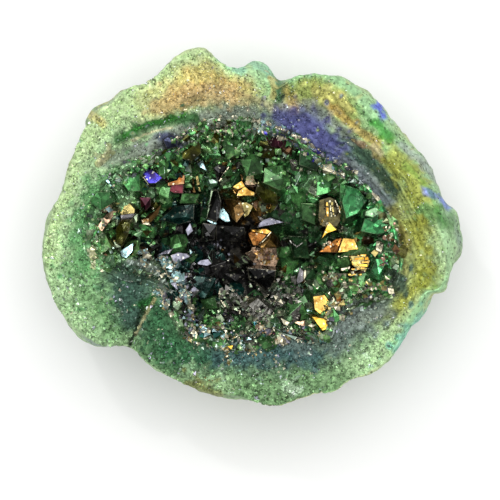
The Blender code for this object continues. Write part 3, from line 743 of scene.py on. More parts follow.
class Finish:
    """A material under construction. node() makes every node of it."""

    def __init__(self, name):
        self.material = bpy.data.materials.new(name)
        self.material.use_nodes = True
        self.tree = self.material.node_tree
        self.tree.nodes.clear()

    def node(self, kind, settings=None, values=None, output=0):
        """Adds a node, sets its settings, then its inputs, and gives one of its outputs."""
        made = self.tree.nodes.new(kind)
        for key, value in (settings or {}).items():
            setattr(made, key, value)
        for key, value in (values or {}).items():
            if isinstance(value, Signal):
                self.tree.links.new(value.socket, made.inputs[key])
            elif value is not None:
                made.inputs[key].default_value = value
        return Signal(self, made.outputs[output]) if made.outputs else None

    def place(self):
        """Object coordinates."""
        return self.node("ShaderNodeTexCoord", output="Object")

    def attribute(self, name, output="Fac"):
        """An attribute of the mesh."""
        return self.node("ShaderNodeAttribute", {"attribute_name": name}, output=output)

    def noise(self, spacing, detail):
        """Noise from 0 to 1 whose features are that many millimetres apart."""
        values = {"Vector": self.place(), "Scale": 1 / (spacing * MM), "Detail": detail}
        return self.node("ShaderNodeTexNoise", None, {**values, "Roughness": NOISE_ROUGHNESS})

    def cells(self, spacing, output="Distance"):
        """Voronoi cells that many millimetres apart."""
        values = {"Vector": self.place(), "Scale": 1 / (spacing * MM)}
        return self.node("ShaderNodeTexVoronoi", None, values, output)

    def channel(self, colour, number):
        """One of a colour's three channels."""
        return self.node("ShaderNodeSeparateColor", None, {0: colour}, number)

    def vector(self, operation, first, second=None):
        """A colour or a direction worked out from one or two others."""
        return self.node("ShaderNodeVectorMath", {"operation": operation}, {0: first, 1: second})

    def scaled(self, colour, factor):
        """A colour times a number."""
        return self.node("ShaderNodeVectorMath", {"operation": "SCALE"}, {0: colour, "Scale": factor})

    def mixed(self, share, first, second):
        """The first colour where share is 0, the second where it is 1."""
        values = {0: share, 6: first, 7: second}
        return self.node("ShaderNodeMix", {"data_type": "RGBA"}, values, 2)

    def bump(self, height, distance, strength, normal=None):
        """Normals of a height from 0 to 1 that stands that many millimetres."""
        values = {"Height": height, "Distance": distance * MM, "Strength": strength, "Normal": normal}
        return self.node("ShaderNodeBump", None, values)

    def surface(self, **values):
        """The Principled shader: underscores in a name stand for spaces."""
        named = {key.replace("_", " "): value for key, value in values.items()}
        shader = self.node("ShaderNodeBsdfPrincipled", None, named)
        self.node("ShaderNodeOutputMaterial", None, {"Surface": shader})
        return self.material


def druse_finish(name, speck, grain, contrast):
    """Sugar-grained quartz under a thin metallic coat.

    The tint attribute is the coat's colour. Cells give each grain its own lightness and slope,
    the pits between grains are painted dark as shade, and a few grains flash where sparkle says so.
    """
    make = Finish(name)
    tint = make.attribute("tint", "Color")
    sparkle = make.attribute("sparkle")
    number = make.cells(grain, "Color")
    lightness = make.channel(number, 0)
    second = make.channel(number, 1)
    # Painted shade: the colour is darkened along the edges of cells, as in the pits between grains.
    pits = make.cells(grain * 2.1).ramp(0.50, 0.75)
    mottle = make.noise(2.2, 4.0).ramp(0.3, 0.7, 0.88, 1.12)
    dark = second.ramp(1 - speck, 1 - speck * 0.5)
    level = (lightness * contrast + (1.22 - contrast / 2)) * mottle
    level = level * (1 - pits * 0.28) * (1 - dark * 0.55)
    flash = lightness.ramp(0.93, 0.97) * 0.6 + sparkle
    rough = 0.52 - flash.held() * 0.30 + make.noise(0.9, 2.0) * 0.12
    height = make.cells(grain) * -1.0 + make.noise(grain * 0.5, 2.0) * 0.5
    return make.surface(
        Base_Color=make.scaled(tint, level),
        Metallic=(flash * 0.50 + 0.20).held(),
        Roughness=rough,
        Normal=make.bump(height, 0.10, 0.50),
        IOR=1.45,
        Specular_IOR_Level=0.12,
    )


RUST = (0.95, 0.68, 0.45)
# Colour of the painted glints on quartz faces.
PAINTED_GLINT = (0.80, 0.78, 0.60, 1)
MIDDLE_GREY = (0.5, 0.5, 0.5)


def quartz_finish(name, clearness):
    """Quartz under a thin metallic film.

    The tint attribute is each face's colour and film how far it mirrors. The run map holds the
    strength of a face's striations and the distance along the crystal's axis. Veils cloud the
    colour within a face, and dust and pits break its gloss. Shards lighten and darken the colour
    cell by cell as painted light and shade, and rare flakes mix in painted glints.
    """
    make = Finish(name)
    tint = make.attribute("tint", "Color")
    film = make.attribute("film")
    run = make.node("ShaderNodeUVMap", {"uv_map": "run"})
    lined = make.node("ShaderNodeSeparateXYZ", None, {0: run}, 0)
    along = make.node("ShaderNodeSeparateXYZ", None, {0: run}, 1)
    shard, flake = make.cells(1.5, "Color"), make.cells(0.28, "Color")
    veil = make.noise(1.1, 3.0).ramp(0.34, 0.66, 0.60, 1.32)
    # Painted light and shade: shards lighten and darken the colour cell by cell, as small facets and light
    # inside the quartz would.
    inside = make.channel(shard, 0).ramp(0.0, 1.0, 0.48, 1.58) * (1 - film * 0.45) + film * 0.40
    pits = make.noise(0.30, 2.0).ramp(0.58, 0.70)
    # Painted glints: rare flakes of pale colour are mixed into the face colour.
    glint = make.channel(flake, 1).ramp(0.975, 0.985)
    colour = make.scaled(tint, veil * inside * (1 - pits * 0.40))
    rusty = film.ramp(0.91, 0.94) * veil.ramp(0.5, 1.1, 1.0, 0.0)
    colour = make.mixed(rusty, colour, make.vector("MULTIPLY", colour, RUST))
    colour = make.mixed(glint * 0.45, colour, PAINTED_GLINT)
    phase = (along + make.noise(1.1, 3.0) * 0.35) * 12.0
    height = phase.sine() * lined * 0.6 + make.noise(0.6, 4.0) * 1.1
    normal = make.node("ShaderNodeNewGeometry", output="Normal")
    tilt = make.scaled(make.vector("SUBTRACT", shard, MIDDLE_GREY), 0.27)
    fine = make.scaled(make.vector("SUBTRACT", flake, MIDDLE_GREY), 0.055)
    tilted = make.vector("ADD", make.vector("ADD", normal, tilt), fine)
    tilted = make.vector("NORMALIZE", tilted)
    return make.surface(
        Base_Color=colour,
        Metallic=(film + glint * 0.3).held(),
        Roughness=0.10 + make.noise(0.7, 3.0).ramp(0.35, 0.75) * 0.25,
        Normal=make.bump(height, 0.035, 0.6, tilted),
        IOR=1.54,
        Transmission_Weight=clearness,
        Specular_IOR_Level=0.5,
    )


def matt_finish(name, colour):
    """Matt white table: its lightness drifts by a hair over a hand's width."""
    make = Finish(name)
    drift = make.noise(90.0, 2.0).ramp(0.3, 0.7, 0.995, 1.0)
    return make.surface(Base_Color=make.scaled(colour, drift), Roughness=0.9, Specular_IOR_Level=0.1)


# ==== Rind ====
def open_run(rows, start=0.0):
    """Stations from a start up to 1, which is left to the next surface."""
    return np.linspace(start, 1, rows + 1)[:-1]


def station_grid(surface, stations, columns):
    """(theta, station, points) of a surface on a grid of stations by bearings."""
    turn = np.arange(columns) * 2 * math.pi / columns
    theta, station = np.meshgrid(turn, stations)
    return theta, station, surface(theta, station)


def grid_normals(points):
    """Normals of a closed grid of rows: the cross product of central steps."""
    run_round = np.roll(points, -1, axis=1) - np.roll(points, 1, axis=1)
    run_along = np.gradient(points, axis=0)
    return unit(np.cross(run_round, run_along))


def rind_relief(points, theta, on_skin, on_face, across):
    """Fine relief of the rind in millimetres: pebbles on the skin, grains on the face.

    Flow lines on the right of the face are waves across it.
    """
    pebbles = sum(rise * domes(points, spacing, seed) for spacing, rise, seed in PEBBLES)
    sugar = 0.10 * domes(points, 0.5, 43) + 0.10 * waves(points, 1.4, 44)
    flow = window(theta, *FLOW_WINDOW) * np.sin(across * FLOW_PITCH + 2.2 * waves(points, 7.0, 45))
    return on_skin * (pebbles - PEBBLE_SINK) + on_face * (sugar - 0.05 + FLOW_RISE * flow)


def make_rind(settings):
    """The rind as one closed surface, with its relief and coat colour."""
    theta_s, climb, skin = station_grid(skin_surface, open_run(SKIN_ROWS), RIND_COLUMNS)
    theta_f, across, face = station_grid(face_surface, open_run(FACE_ROWS), RIND_COLUMNS)
    theta_w, down, wall = station_grid(wall_surface, open_run(WALL_ROWS), RIND_COLUMNS)
    points = np.concatenate([skin, face, wall])
    theta = np.concatenate([theta_s, theta_f, theta_w])
    on_skin = np.concatenate([
        np.clip(climb / 0.12, 0, 1) * np.clip((1.02 - climb) / 0.08, 0, 1),
        np.zeros_like(across),
        np.zeros_like(down),
    ])
    on_face = np.concatenate([
        np.clip((climb - 0.9) / 0.1, 0, 1), np.ones_like(across), np.zeros_like(down),
    ])
    place = np.concatenate([np.zeros_like(climb), across, np.ones_like(down)])
    relief = settings.relief * rind_relief(points, theta, on_skin, on_face, place)
    # The wall under the crust takes the rim's coat at half its lightness: painted shade in the gap under
    # the crystals.
    colours = np.concatenate([
        skin_colour(skin, climb),
        rim_colour(face, theta_f, across),
        rim_colour(wall, theta_w, np.ones_like(down)) * 0.5,
    ])
    shaped = points + grid_normals(points) * relief[..., None]
    floor = wall_surface(np.array(0.0), np.array(1.0))
    vertices = np.concatenate([shaped.reshape(-1, 3), [(0.0, 0.0, 0.0)], [floor]])
    tint = np.concatenate([colours.reshape(-1, 3), [COAT["teal"]], [COAT["teal"]]])
    attributes = [("tint", "POINT", tint), ("sparkle", "POINT", np.zeros(len(vertices)))]
    faces = ring_faces(len(points), RIND_COLUMNS)
    return put_mesh("rind_surface", vertices, faces, attributes, smooth=True)


# ==== Rim grains ====
GRAIN_FACES = np.array([
    (0, 2, 4), (2, 1, 4), (1, 3, 4), (3, 0, 4), (2, 0, 5), (1, 2, 5), (3, 1, 5), (0, 3, 5),
])
# Pale colours blended into the grains that flash: painted glints.
PAINTED_FLASH_COLOURS = np.array([(0.90, 0.86, 0.62), (0.76, 0.92, 0.88), (0.92, 0.92, 0.92), (0.72, 0.68, 0.92)])


GRAIN_SINK = 0.12  # depth of a grain's middle, as a share of its size
LARGEST_AREA = 520  # above the area to a step round and across the rim face, anywhere on it
ASKEW = np.array((0.31, 0.95, 0.07))  # a direction that no axis has


def frames_round(axes, turns):
    """Two unit vectors square to each axis and to each other, turned about it by an angle."""
    first = unit(np.cross(axes, ASKEW))
    second = np.cross(axes, first)
    cosine, sine = np.cos(turns)[:, None], np.sin(turns)[:, None]
    return first * cosine + second * sine, second * cosine - first * sine


def grain_mesh(feet, axes, widths, heights, rng):
    """Octahedral grains: four corners round each foot, a tip along the axis and one below."""
    side, across = frames_round(axes, rng.uniform(0, math.pi, len(feet)))
    stretch = rng.uniform(0.75, 1.3, (len(feet), 1))
    wide, tall = widths[:, None], heights[:, None]
    lean = rng.uniform(-0.3, 0.3, (len(feet), 1)) * wide
    corners = np.stack([
        feet - side * wide * stretch,
        feet + side * wide * stretch,
        feet - across * wide / stretch,
        feet + across * wide / stretch,
        feet + axes * tall + side * lean,
        feet - axes * tall,
    ], axis=1)
    faces = GRAIN_FACES[None] + (np.arange(len(feet)) * 6)[:, None, None]
    return corners.reshape(-1, 3), faces.reshape(-1, 3)


def scatter_on_face(rng, tries):
    """(theta, across) spread evenly over the rim face: kept in proportion to the area there."""
    theta = rng.uniform(0, 2 * math.pi, tries)
    across = rng.uniform(0, 0.98, tries)
    outer = polar_curve(GIRTH, theta)
    inner = polar_curve(HOLLOW_EDGE, theta)
    area = (outer + (inner - outer) * across) * (outer - inner)
    keep = rng.uniform(0, LARGEST_AREA, tries) < area
    return theta[keep], across[keep]


def make_grains(settings):
    """Sugar grains over the rim face: coarser towards the lower left, finer on the right."""
    rng = np.random.default_rng(settings.seed)
    theta, across = scatter_on_face(rng, settings.count * 3)
    theta, across = theta[: settings.count], across[: settings.count]
    count = len(theta)
    feet = face_surface(theta, across)
    normals = face_normals(theta, across)
    coarse = 1 + 0.40 * bump(theta, 235, 60) - 0.45 * window(theta, -30, 66, 14)
    size = np.minimum(coarse * rng.lognormal(0, 0.28, count), 2.0) * settings.grain_size
    axes = unit(normals + rng.normal(0, 0.55, (count, 3)))
    feet = feet - normals * size[:, None] * GRAIN_SINK
    vertices, faces = grain_mesh(feet, axes, size * 0.5, size * rng.uniform(0.35, 0.75, count), rng)
    colour = rim_colour(feet, theta, across)
    kind = rng.random(count)
    spread = 0.17 + 0.25 * bump(theta, 268, 70)
    colour = colour * np.where(kind < 0.08, 0.40, np.exp(spread * rng.normal(0, 1, count)))[:, None]
    shine = kind > 1 - settings.sparkle
    flash = PAINTED_FLASH_COLOURS[rng.integers(0, len(PAINTED_FLASH_COLOURS), count)]
    # Painted glints: a flashing grain's colour is moved most of the way to a pale flash colour.
    colour = np.where(shine[:, None], 0.40 * colour + 0.60 * flash, colour)
    tint = np.repeat(np.clip(colour, 0, LIGHTEST), len(GRAIN_FACES), axis=0)
    sparkle = np.repeat(np.where(shine, 0.9, 0.0), len(GRAIN_FACES))
    attributes = [("tint", "FACE", tint), ("sparkle", "FACE", sparkle)]
    return put_mesh("rim_sugar_grains", vertices, [faces], attributes)


# ==== Crystals ====
# Faces of a six-sided point: base, six prism sides and six tip faces. Corners 0 to 5 are the
# base, 6 to 11 the shoulder and 12 the tip.
BASE = (5, 4, 3, 2, 1, 0)
SIDES = tuple((i, (i + 1) % 6, 6 + (i + 1) % 6, 6 + i) for i in range(6))
TIPS = tuple((6 + i, 6 + (i + 1) % 6, 12) for i in range(6))
POINT_FACES = (BASE, *SIDES, *TIPS)

# Colours of a crystal's face: (red, green, blue, how far it mirrors).
FACE_COLOURS = dict(
    emerald=(0.085, 0.29, 0.09, 0.48),
    vivid=(0.084, 0.4, 0.135, 0.44),
    green=(0.082, 0.225, 0.068, 0.42),
    leaf=(0.165, 0.35, 0.11, 0.38),
    deep=(0.033, 0.096, 0.036, 0.42),
    pine=(0.009, 0.055, 0.044, 0.5),
    mint=(0.2, 0.4, 0.19, 0.3),
    haze=(0.19, 0.25, 0.15, 0.5),
    olive=(0.075, 0.078, 0.009, 0.65),
    smoke=(0.015, 0.014, 0.014, 0.45),
    pitch=(0.004, 0.004, 0.004, 0.3),
    ash=(0.11, 0.104, 0.088, 0.6),
    silver=(0.2, 0.195, 0.172, 0.8),
    pewter=(0.11, 0.105, 0.11, 0.8),
    gold=(0.46, 0.305, 0.075, 0.95),
    sun=(0.54, 0.35, 0.05, 0.95),
    amber=(0.25, 0.108, 0.028, 0.95),
    copper=(0.195, 0.076, 0.016, 0.92),
    honey=(0.054, 0.046, 0.013, 0.72),
    clay=(0.15, 0.098, 0.062, 0.8),
    brass=(0.24, 0.195, 0.07, 0.9),
    bronze=(0.245, 0.138, 0.04, 0.85),
    umber=(0.092, 0.048, 0.02, 0.8),
    peach=(0.46, 0.31, 0.205, 0.9),
    rose=(0.31, 0.175, 0.13, 0.9),
    maroon=(0.055, 0.01, 0.02, 0.8),
    wine=(0.07, 0.014, 0.019, 0.9),
    magenta=(0.15, 0.03, 0.09, 0.9),
    violet=(0.042, 0.036, 0.27, 0.95),
    lilac=(0.13, 0.13, 0.16, 0.9),
    navy=(0.03, 0.036, 0.07, 0.7),
    ice=(0.23, 0.36, 0.37, 0.9),
    aqua=(0.085, 0.34, 0.4, 0.9),
    cream=(0.4, 0.37, 0.26, 0.9),
    mist=(0.26, 0.36, 0.29, 0.8),
)
COLOUR_NAMES = sorted(FACE_COLOURS)
COLOUR_TABLE = np.array([FACE_COLOURS[name] for name in COLOUR_NAMES])
# What the hollow's crystals are made of, by region: (x, y, reach, {colour: share}), first the
# body of each crystal and then the film on single faces.
BODY_REGIONS = (
    (-25.5, 2, 5, dict(leaf=4, mint=7, emerald=3, haze=3)),
    (-19, 6.5, 5, dict(emerald=6, green=5, leaf=4, mint=2, olive=1)),
    (-12, 3, 4.5, dict(pine=5, green=4, deep=3, emerald=1)),
    (-6, 14, 5.5, dict(green=5, emerald=3, leaf=2, deep=2, olive=2)),
    (4, 11.5, 5.5, dict(emerald=5, green=5, haze=1, deep=2)),
    (13, 8, 5, dict(green=4, emerald=5, haze=3, mint=2)),
    (20, 3, 4.5, dict(emerald=4, vivid=6, mint=4, leaf=3)),
    (22.5, -5, 4.5, dict(vivid=6, emerald=2, leaf=2, mint=3)),
    (17, -10, 4.5, dict(green=3, emerald=2, leaf=3, haze=5, mint=3, ash=2)),
    (9, -2.5, 4.5, dict(deep=6, green=3, smoke=1)),
    (0, 3, 5, dict(smoke=1, bronze=3, deep=4, ash=3, olive=2, haze=1)),
    (-6.5, -5.5, 6, dict(smoke=7, pitch=3, pine=2)),
    (-12.5, -6.5, 4, dict(deep=4, pine=4, smoke=2)),
    (1, -11, 5, dict(smoke=3, ash=5, haze=3, deep=2, silver=1)),
    (9, -10, 4, dict(deep=3, green=5, haze=2)),
    (-6, -15.5, 4.5, dict(deep=3, green=4, leaf=2, haze=3)),
    (3, -16.5, 4.5, dict(green=4, haze=5, ash=2, deep=1, mint=1)),
)
FILM_REGIONS = (
    (13, -3, 5.5, dict(gold=1, amber=1, bronze=4, brass=4, cream=2, haze=3)),
    (16, 8, 5.5, dict(haze=4, mint=2, leaf=3, olive=2, cream=1)),
    (0, 4, 6, dict(brass=3, bronze=5, umber=4, ash=3, lilac=1)),
    (-7, -7, 7, dict(lilac=2, ash=3, navy=3, smoke=3)),
    (0, -14, 6, dict(cream=3, silver=5, lilac=2, ash=2, rose=1)),
    (-19, 4, 7, dict(umber=3, brass=3, maroon=2, haze=3, ice=1)),
    (0, 14, 8, dict(olive=4, umber=3, mist=2, haze=4, maroon=1)),
    (20, -8, 5, dict(cream=4, brass=3, haze=3)),
)


def point_corners(feet, axes, radii, lengths, turns, random, unevenness=1.0):
    """Corners (n, 13, 3) of quartz points: a prism under a pyramid with its tip off centre.

    random holds nine numbers from 0 to 1 for each crystal: its stretch, six shoulder heights
    and the lean of its tip in two directions. Unevenness scales the last eight.
    """
    axes = unit(axes)
    side, across = frames_round(axes, np.zeros(len(feet)))
    corner = np.radians(turns)[:, None] + np.arange(6) * math.pi / 3
    stretch = (0.82 + 0.30 * random[:, 0])[:, None]
    wide = radii[:, None]
    flat = (
        (np.cos(corner) * wide * stretch)[..., None] * side[:, None]
        + (np.sin(corner) * wide / stretch)[..., None] * across[:, None]
    )
    tip_height = radii * math.tan(math.radians(TIP_SLOPE)) * TIP_SHARE
    swing = wide * SHOULDER_SWING * unevenness
    shoulder = (lengths - tip_height)[:, None] + swing * (2 * random[:, 1:7] - 1)
    lean = (2 * TIP_SWING * random[:, 7:9] - TIP_SWING) * wide * unevenness
    tip = feet + axes * lengths[:, None] + side * lean[:, :1] + across * lean[:, 1:]
    base = feet[:, None] + flat
    return np.concatenate([base, base + shoulder[..., None] * axes[:, None], tip[:, None]], axis=1)


def plain_points(corners):
    """(vertices, groups) of crystals with sharp edges: (faces, their numbers) by size."""
    groups = {}
    for number, face in enumerate(POINT_FACES):
        groups.setdefault(len(face), []).append((face, number))
    return corners, spread_groups(groups, len(corners), 13)


def spread_groups(groups, count, step):
    """Repeats one crystal's faces for a count of crystals whose vertices are a step apart."""
    shift = (np.arange(count) * step)[:, None, None]
    made = []
    for entries in groups.values():
        pattern = np.array([entry[0] for entry in entries])
        number = np.array([entry[1] for entry in entries])
        made.append((pattern[None] + shift, np.broadcast_to(number, (count, len(number)))))
    return made


def chamfered_points(corners, width):
    """(vertices, groups) of crystals with every edge cut back by a width.

    Each face keeps its plane and is inset, each edge becomes a strip between the two insets,
    and each corner a small facet between the insets that meet there. A strip's or a facet's
    number is -1, and a face's is its place in POINT_FACES.
    """
    spots, inset, groups, beside = {}, [], {}, {}
    for number, face in enumerate(POINT_FACES):
        for i, corner in enumerate(face):
            before, after = face[i - 1], face[(i + 1) % len(face)]
            one = unit(corners[:, before] - corners[:, corner])
            two = unit(corners[:, after] - corners[:, corner])
            sine = np.linalg.norm(np.cross(one, two), axis=-1, keepdims=True)
            spots[number, corner] = len(inset)
            inset.append(corners[:, corner] + (one + two) * width[:, None] / np.maximum(sine, 0.2))
            beside[corner, after] = number
        groups.setdefault(len(face), []).append((tuple(spots[number, c] for c in face), number))
    for (start, end), number in beside.items():
        other = beside[end, start]
        if start < end:
            strip = (spots[number, end], spots[number, start], spots[other, start], spots[other, end])
            groups[4].append((strip, -1))
    for corner in range(13):
        number = next(n for (a, _), n in beside.items() if a == corner)
        fan = []
        while number not in fan:
            fan.append(number)
            face = POINT_FACES[number]
            number = beside[corner, face[face.index(corner) - 1]]
        facet = tuple(spots[n, corner] for n in reversed(fan))
        groups.setdefault(len(facet), []).append((facet, -1))
    return np.stack(inset, axis=1), spread_groups(groups, len(corners), len(inset))


def down_at(x, y):
    """How far down the wall the point of the hollow under (x, y) lies, by bisection."""
    theta = np.arctan2(y, x)
    low, high = 0.0, 1.0
    for _ in range(30):
        middle = (low + high) / 2
        here = wall_surface(np.array(theta), np.array(middle))
        if math.hypot(here[0], here[1]) > math.hypot(x, y):
            low = middle
        else:
            high = middle
    return theta, (low + high) / 2


def crystal_places():
    """(feet, axes, radii, lengths, turns) of the solids' crystals, drawn as the solids draw them."""
    rng = np.random.default_rng(CRYSTAL_SEED)
    places = []
    for x, y, radius, length, lean_x, lean_y, turn in HERO_CRYSTALS:
        theta, down = down_at(x, y)
        foot = wall_surface(np.array(theta), np.array(down))
        axis = np.array([math.tan(math.radians(lean_x)), math.tan(math.radians(lean_y)), 1.0])
        places.append((foot, axis, radius, length, turn))
    for smallest, largest, tries in CRYSTAL_SIZES:
        theta = rng.uniform(0, 2 * math.pi, tries)
        down = rng.uniform(0.08, 1.0, tries)
        keep = rng.random(tries) < np.cos(down * math.pi / 2) ** WALL_STEEPNESS + 0.05
        feet = wall_surface(theta, down)
        normals = wall_normals(theta, down)
        radii = rng.uniform(smallest, largest, tries)
        radii = radii * np.clip(SMALLEST_AT_EDGE + EDGE_GROWTH * down, 0, 1)
        slant = rng.normal(0, SLANT, (tries, 3))
        stretch = rng.uniform(*LENGTH_SHARES, tries)
        turns = rng.uniform(0, 60, tries)
        for i in np.flatnonzero(keep):
            clear = all(
                np.linalg.norm(feet[i] - foot) > CRYSTAL_CROWDING * (radii[i] + radius)
                for foot, _, radius, _, _ in places
            )
            if clear:
                axis = normals[i] + slant[i] + (0, 0, UPRIGHT)
                length = CRUST_DEPTH + radii[i] * stretch[i]
                places.append((feet[i], axis, radii[i], length, turns[i]))
    return [np.array(column) for column in zip(*places)]


def place_in_hollow(x, y):
    """(theta, down) of the wall's point under (x, y), by repeating the bowl's own formula.

    The bearing is taken from the centre that the wall has at that depth.
    """
    down = np.zeros_like(x)
    for _ in range(12):
        dx, dy = x - FLOOR_CENTRE[0] * down**2, y - FLOOR_CENTRE[1] * down**2
        theta = np.arctan2(dy, dx)
        share = np.hypot(dx, dy) / polar_curve(HOLLOW_EDGE, theta)
        down = 0.5 * down + 0.5 * np.arccos(np.clip(share, 0, 1) ** (1 / WALL_STEEPNESS)) * 2 / math.pi
    return theta, down


def ground_point(x, y):
    """(points, normals) of the crystals' ground at (x, y): crust inside the edge, rim outside."""
    theta = np.arctan2(y, x)
    inner, outer = polar_curve(HOLLOW_EDGE, theta), polar_curve(GIRTH, theta)
    outside = np.hypot(x, y) > inner
    across = np.clip((outer - np.hypot(x, y)) / (outer - inner), 0, 1)
    crust, crust_up = crust_points(*place_in_hollow(x, y))
    points = np.where(outside[:, None], face_surface(theta, across), crust)
    return points, np.where(outside[:, None], face_normals(theta, across), crust_up)


def pick_by_region(regions, places, draw):
    """A face colour (n, 4) for each place: shares of the regions weighed by nearness.

    A region's weight is a Gaussian of the distance in plan. The draw, from 0 to 1, is looked up
    in the running total of the shares.
    """
    weight = np.zeros((len(places), len(COLOUR_NAMES)))
    for x, y, reach, shares in regions:
        near = np.exp(-(((places[:, 0] - x) ** 2 + (places[:, 1] - y) ** 2) / reach**2)) + 1e-4
        total = sum(shares.values())
        for name, share in shares.items():
            weight[:, COLOUR_NAMES.index(name)] += near * share / total
    running = np.cumsum(weight, axis=1)
    running /= running[:, -1:]
    return COLOUR_TABLE[np.minimum((draw[:, None] > running).sum(1), len(COLOUR_NAMES) - 1)]


def nearness(places, zones):
    """How deep each place lies in any zone: 1 inside, 0 outside, with a soft edge."""
    depth = np.zeros(len(places))
    for x, y, reach in zones:
        away = np.hypot(places[:, 0] - x, places[:, 1] - y)
        depth = np.maximum(depth, np.clip((reach - away) / 0.8 + 0.5, 0, 1))
    return depth


def with_film(colours, film):
    """Colours (..., 3) with one film share for all as their fourth number."""
    return np.concatenate([colours, np.full((*colours.shape[:-1], 1), film)], axis=-1)


def face_colours(places, film_share, rng):
    """Colours (n, faces, 4) for the faces of crystals at those places.

    Each crystal has a body colour, lighter or darker from face to face, and some of its faces
    carry the film of their region.
    """
    count, faces = len(places), len(POINT_FACES)
    body = pick_by_region(BODY_REGIONS, places, rng.random(count))
    colours = np.repeat(body[:, None], faces, axis=1)
    colours[..., :3] *= rng.lognormal(0.08, 0.27, (count, faces, 1))
    draw = rng.random(count * faces)
    film = pick_by_region(FILM_REGIONS, np.repeat(places, faces, axis=0), draw)
    carries = rng.random((count, faces)) < film_share
    colours = np.where(carries[..., None], film.reshape(count, faces, 4), colours)
    coat = rim_colour(places, np.arctan2(places[:, 1], places[:, 0]), np.ones(count))[:, None]
    coat = with_film(coat * rng.lognormal(-0.1, 0.25, (count, faces, 1)), COATED_FILM)
    coated = rng.random(count) < nearness(places, DRUSE_ZONES)
    return np.where(coated[:, None, None], coat, colours)


def crystal_piece(name, corners, colours, rng, width=None):
    """One object from crystals. With a width their edges are chamfered, and the edges are painted lighter
    than the faces, some mist pale: painted highlights.
    """
    vertices, groups = plain_points(corners) if width is None else chamfered_points(corners, width)
    bases = corners[:, :6].mean(axis=1)
    axes = unit(corners[:, 12] - bases)
    along = np.einsum("nvk,nk->nv", vertices - bases[:, None], axes).reshape(-1)
    # Painted highlights: edge strips and corner facets are 1.2 times as light as the crystal's faces, and
    # on some crystals mist pale.
    lit = rng.random(len(corners)) < PAINTED_EDGE_HIGHLIGHTS
    edge = np.where(lit[:, None], FACE_COLOURS["mist"], colours[:, 1:].mean(axis=1) * 1.2)
    faces, painted, runs = [], [], []
    for pattern, number in groups:
        crystal = np.broadcast_to(np.arange(len(corners))[:, None], number.shape)
        own = colours[crystal, np.maximum(number, 0)]
        colour = np.where((number < 0)[..., None], edge[crystal], own)
        lined = np.where((number > 0) & (number < 7), 0.7, 0.0)
        flat = pattern.reshape(-1, pattern.shape[-1])
        faces.append(flat)
        painted.append(colour.reshape(-1, 4))
        lines = np.repeat(lined.reshape(-1), pattern.shape[-1])
        runs.append(np.stack([lines, along[flat].reshape(-1)], -1))
    painted, runs = np.concatenate(painted), np.concatenate(runs)
    return film_mesh(name, vertices.reshape(-1, 3), faces, painted, runs)


def film_mesh(name, vertices, faces, painted, runs=None):
    """An object with the attributes that quartz_finish reads: a colour and film for each face."""
    if runs is None:
        runs = np.zeros((sum(group.size for group in faces), 2))
    tint = np.clip(painted[:, :3], 0, LIGHTEST)
    attributes = [("tint", "FACE", tint), ("film", "FACE", painted[:, 3]), ("run", "CORNER", runs)]
    return put_mesh(name, vertices, faces, attributes)


def make_ground():
    """The druse that the crystals stand on: random flat facets over the wall and the rim's lip."""
    lip = open_run(LIP_ROWS, 1 - GROUND_LIP)
    theta_l, across, edge = station_grid(face_surface, lip, GROUND_COLUMNS)
    theta_w, down, wall = station_grid(wall_surface, open_run(GROUND_ROWS), GROUND_COLUMNS)
    rise = (across - lip[0]) / GROUND_LIP
    depth = np.concatenate([(CRUST_GAP + CRUST_EDGE) * rise - LIP_SINK * (1 - rise), crust_depth(down)])
    points = np.concatenate([edge, wall])
    lip_up = surface_normals(face_surface, theta_l, across)
    normals = np.concatenate([lip_up, wall_normals(theta_w, down)])
    grown = np.concatenate([0.35 * rise, 0.35 + 0.65 * np.clip(down / 0.1, 0, 1)])
    relief = sum(size * (facets(points, spacing, seed) - 0.5) for spacing, size, seed in GROUND_FACETS)
    front = points + normals * (depth + grown * relief)[..., None]
    back_down = np.linspace(1, 0, GROUND_BACK_ROWS + 1)[1:]
    theta_b, deep, back = station_grid(wall_surface, back_down, GROUND_COLUMNS)
    back = back + wall_normals(theta_b, deep) * CRUST_GAP
    centre = wall_surface(np.array(0.0), np.array(1.0))
    rows = np.concatenate([back, front])
    vertices = np.concatenate([
        rows.reshape(-1, 3), [centre + (0, 0, CRUST_GAP)], [centre + (0, 0, CRUST_GAP + CRUST_DEPTH)],
    ])
    faces = ring_faces(len(rows), GROUND_COLUMNS)
    middles = np.concatenate([vertices[group].mean(axis=1) for group in faces])
    coarse, small = GROUND_FACETS
    _, numbers = nearest_seeds(middles, coarse[0], coarse[2])
    _, fine = nearest_seeds(middles, small[0], small[2])
    painted = pick_by_region(BODY_REGIONS, middles, numbers[:, 4])
    film = pick_by_region(FILM_REGIONS, middles, numbers[:, 4])
    painted = np.where((numbers[:, 5] < 0.10)[:, None], film, painted)
    painted[:, :3] *= 0.6 + 0.9 * fine[:, 4:5]
    # Near the edge the rim's own coat runs down into the hollow, further in some places.
    theta, down = place_in_hollow(middles[:, 0], middles[:, 1])
    rim = rim_colour(middles, theta, np.ones_like(theta)) * (0.75 + 0.5 * fine[:, 5:6])
    border = np.clip((0.06 + 0.05 * waves(middles, 2.5, 61) - down) / 0.02, 0, 1)
    border = np.maximum(border, nearness(middles, DRUSE_ZONES))[:, None]
    painted = painted * (1 - border) + with_film(rim, COATED_FILM) * border
    return film_mesh("crystal_ground", vertices, faces, painted)


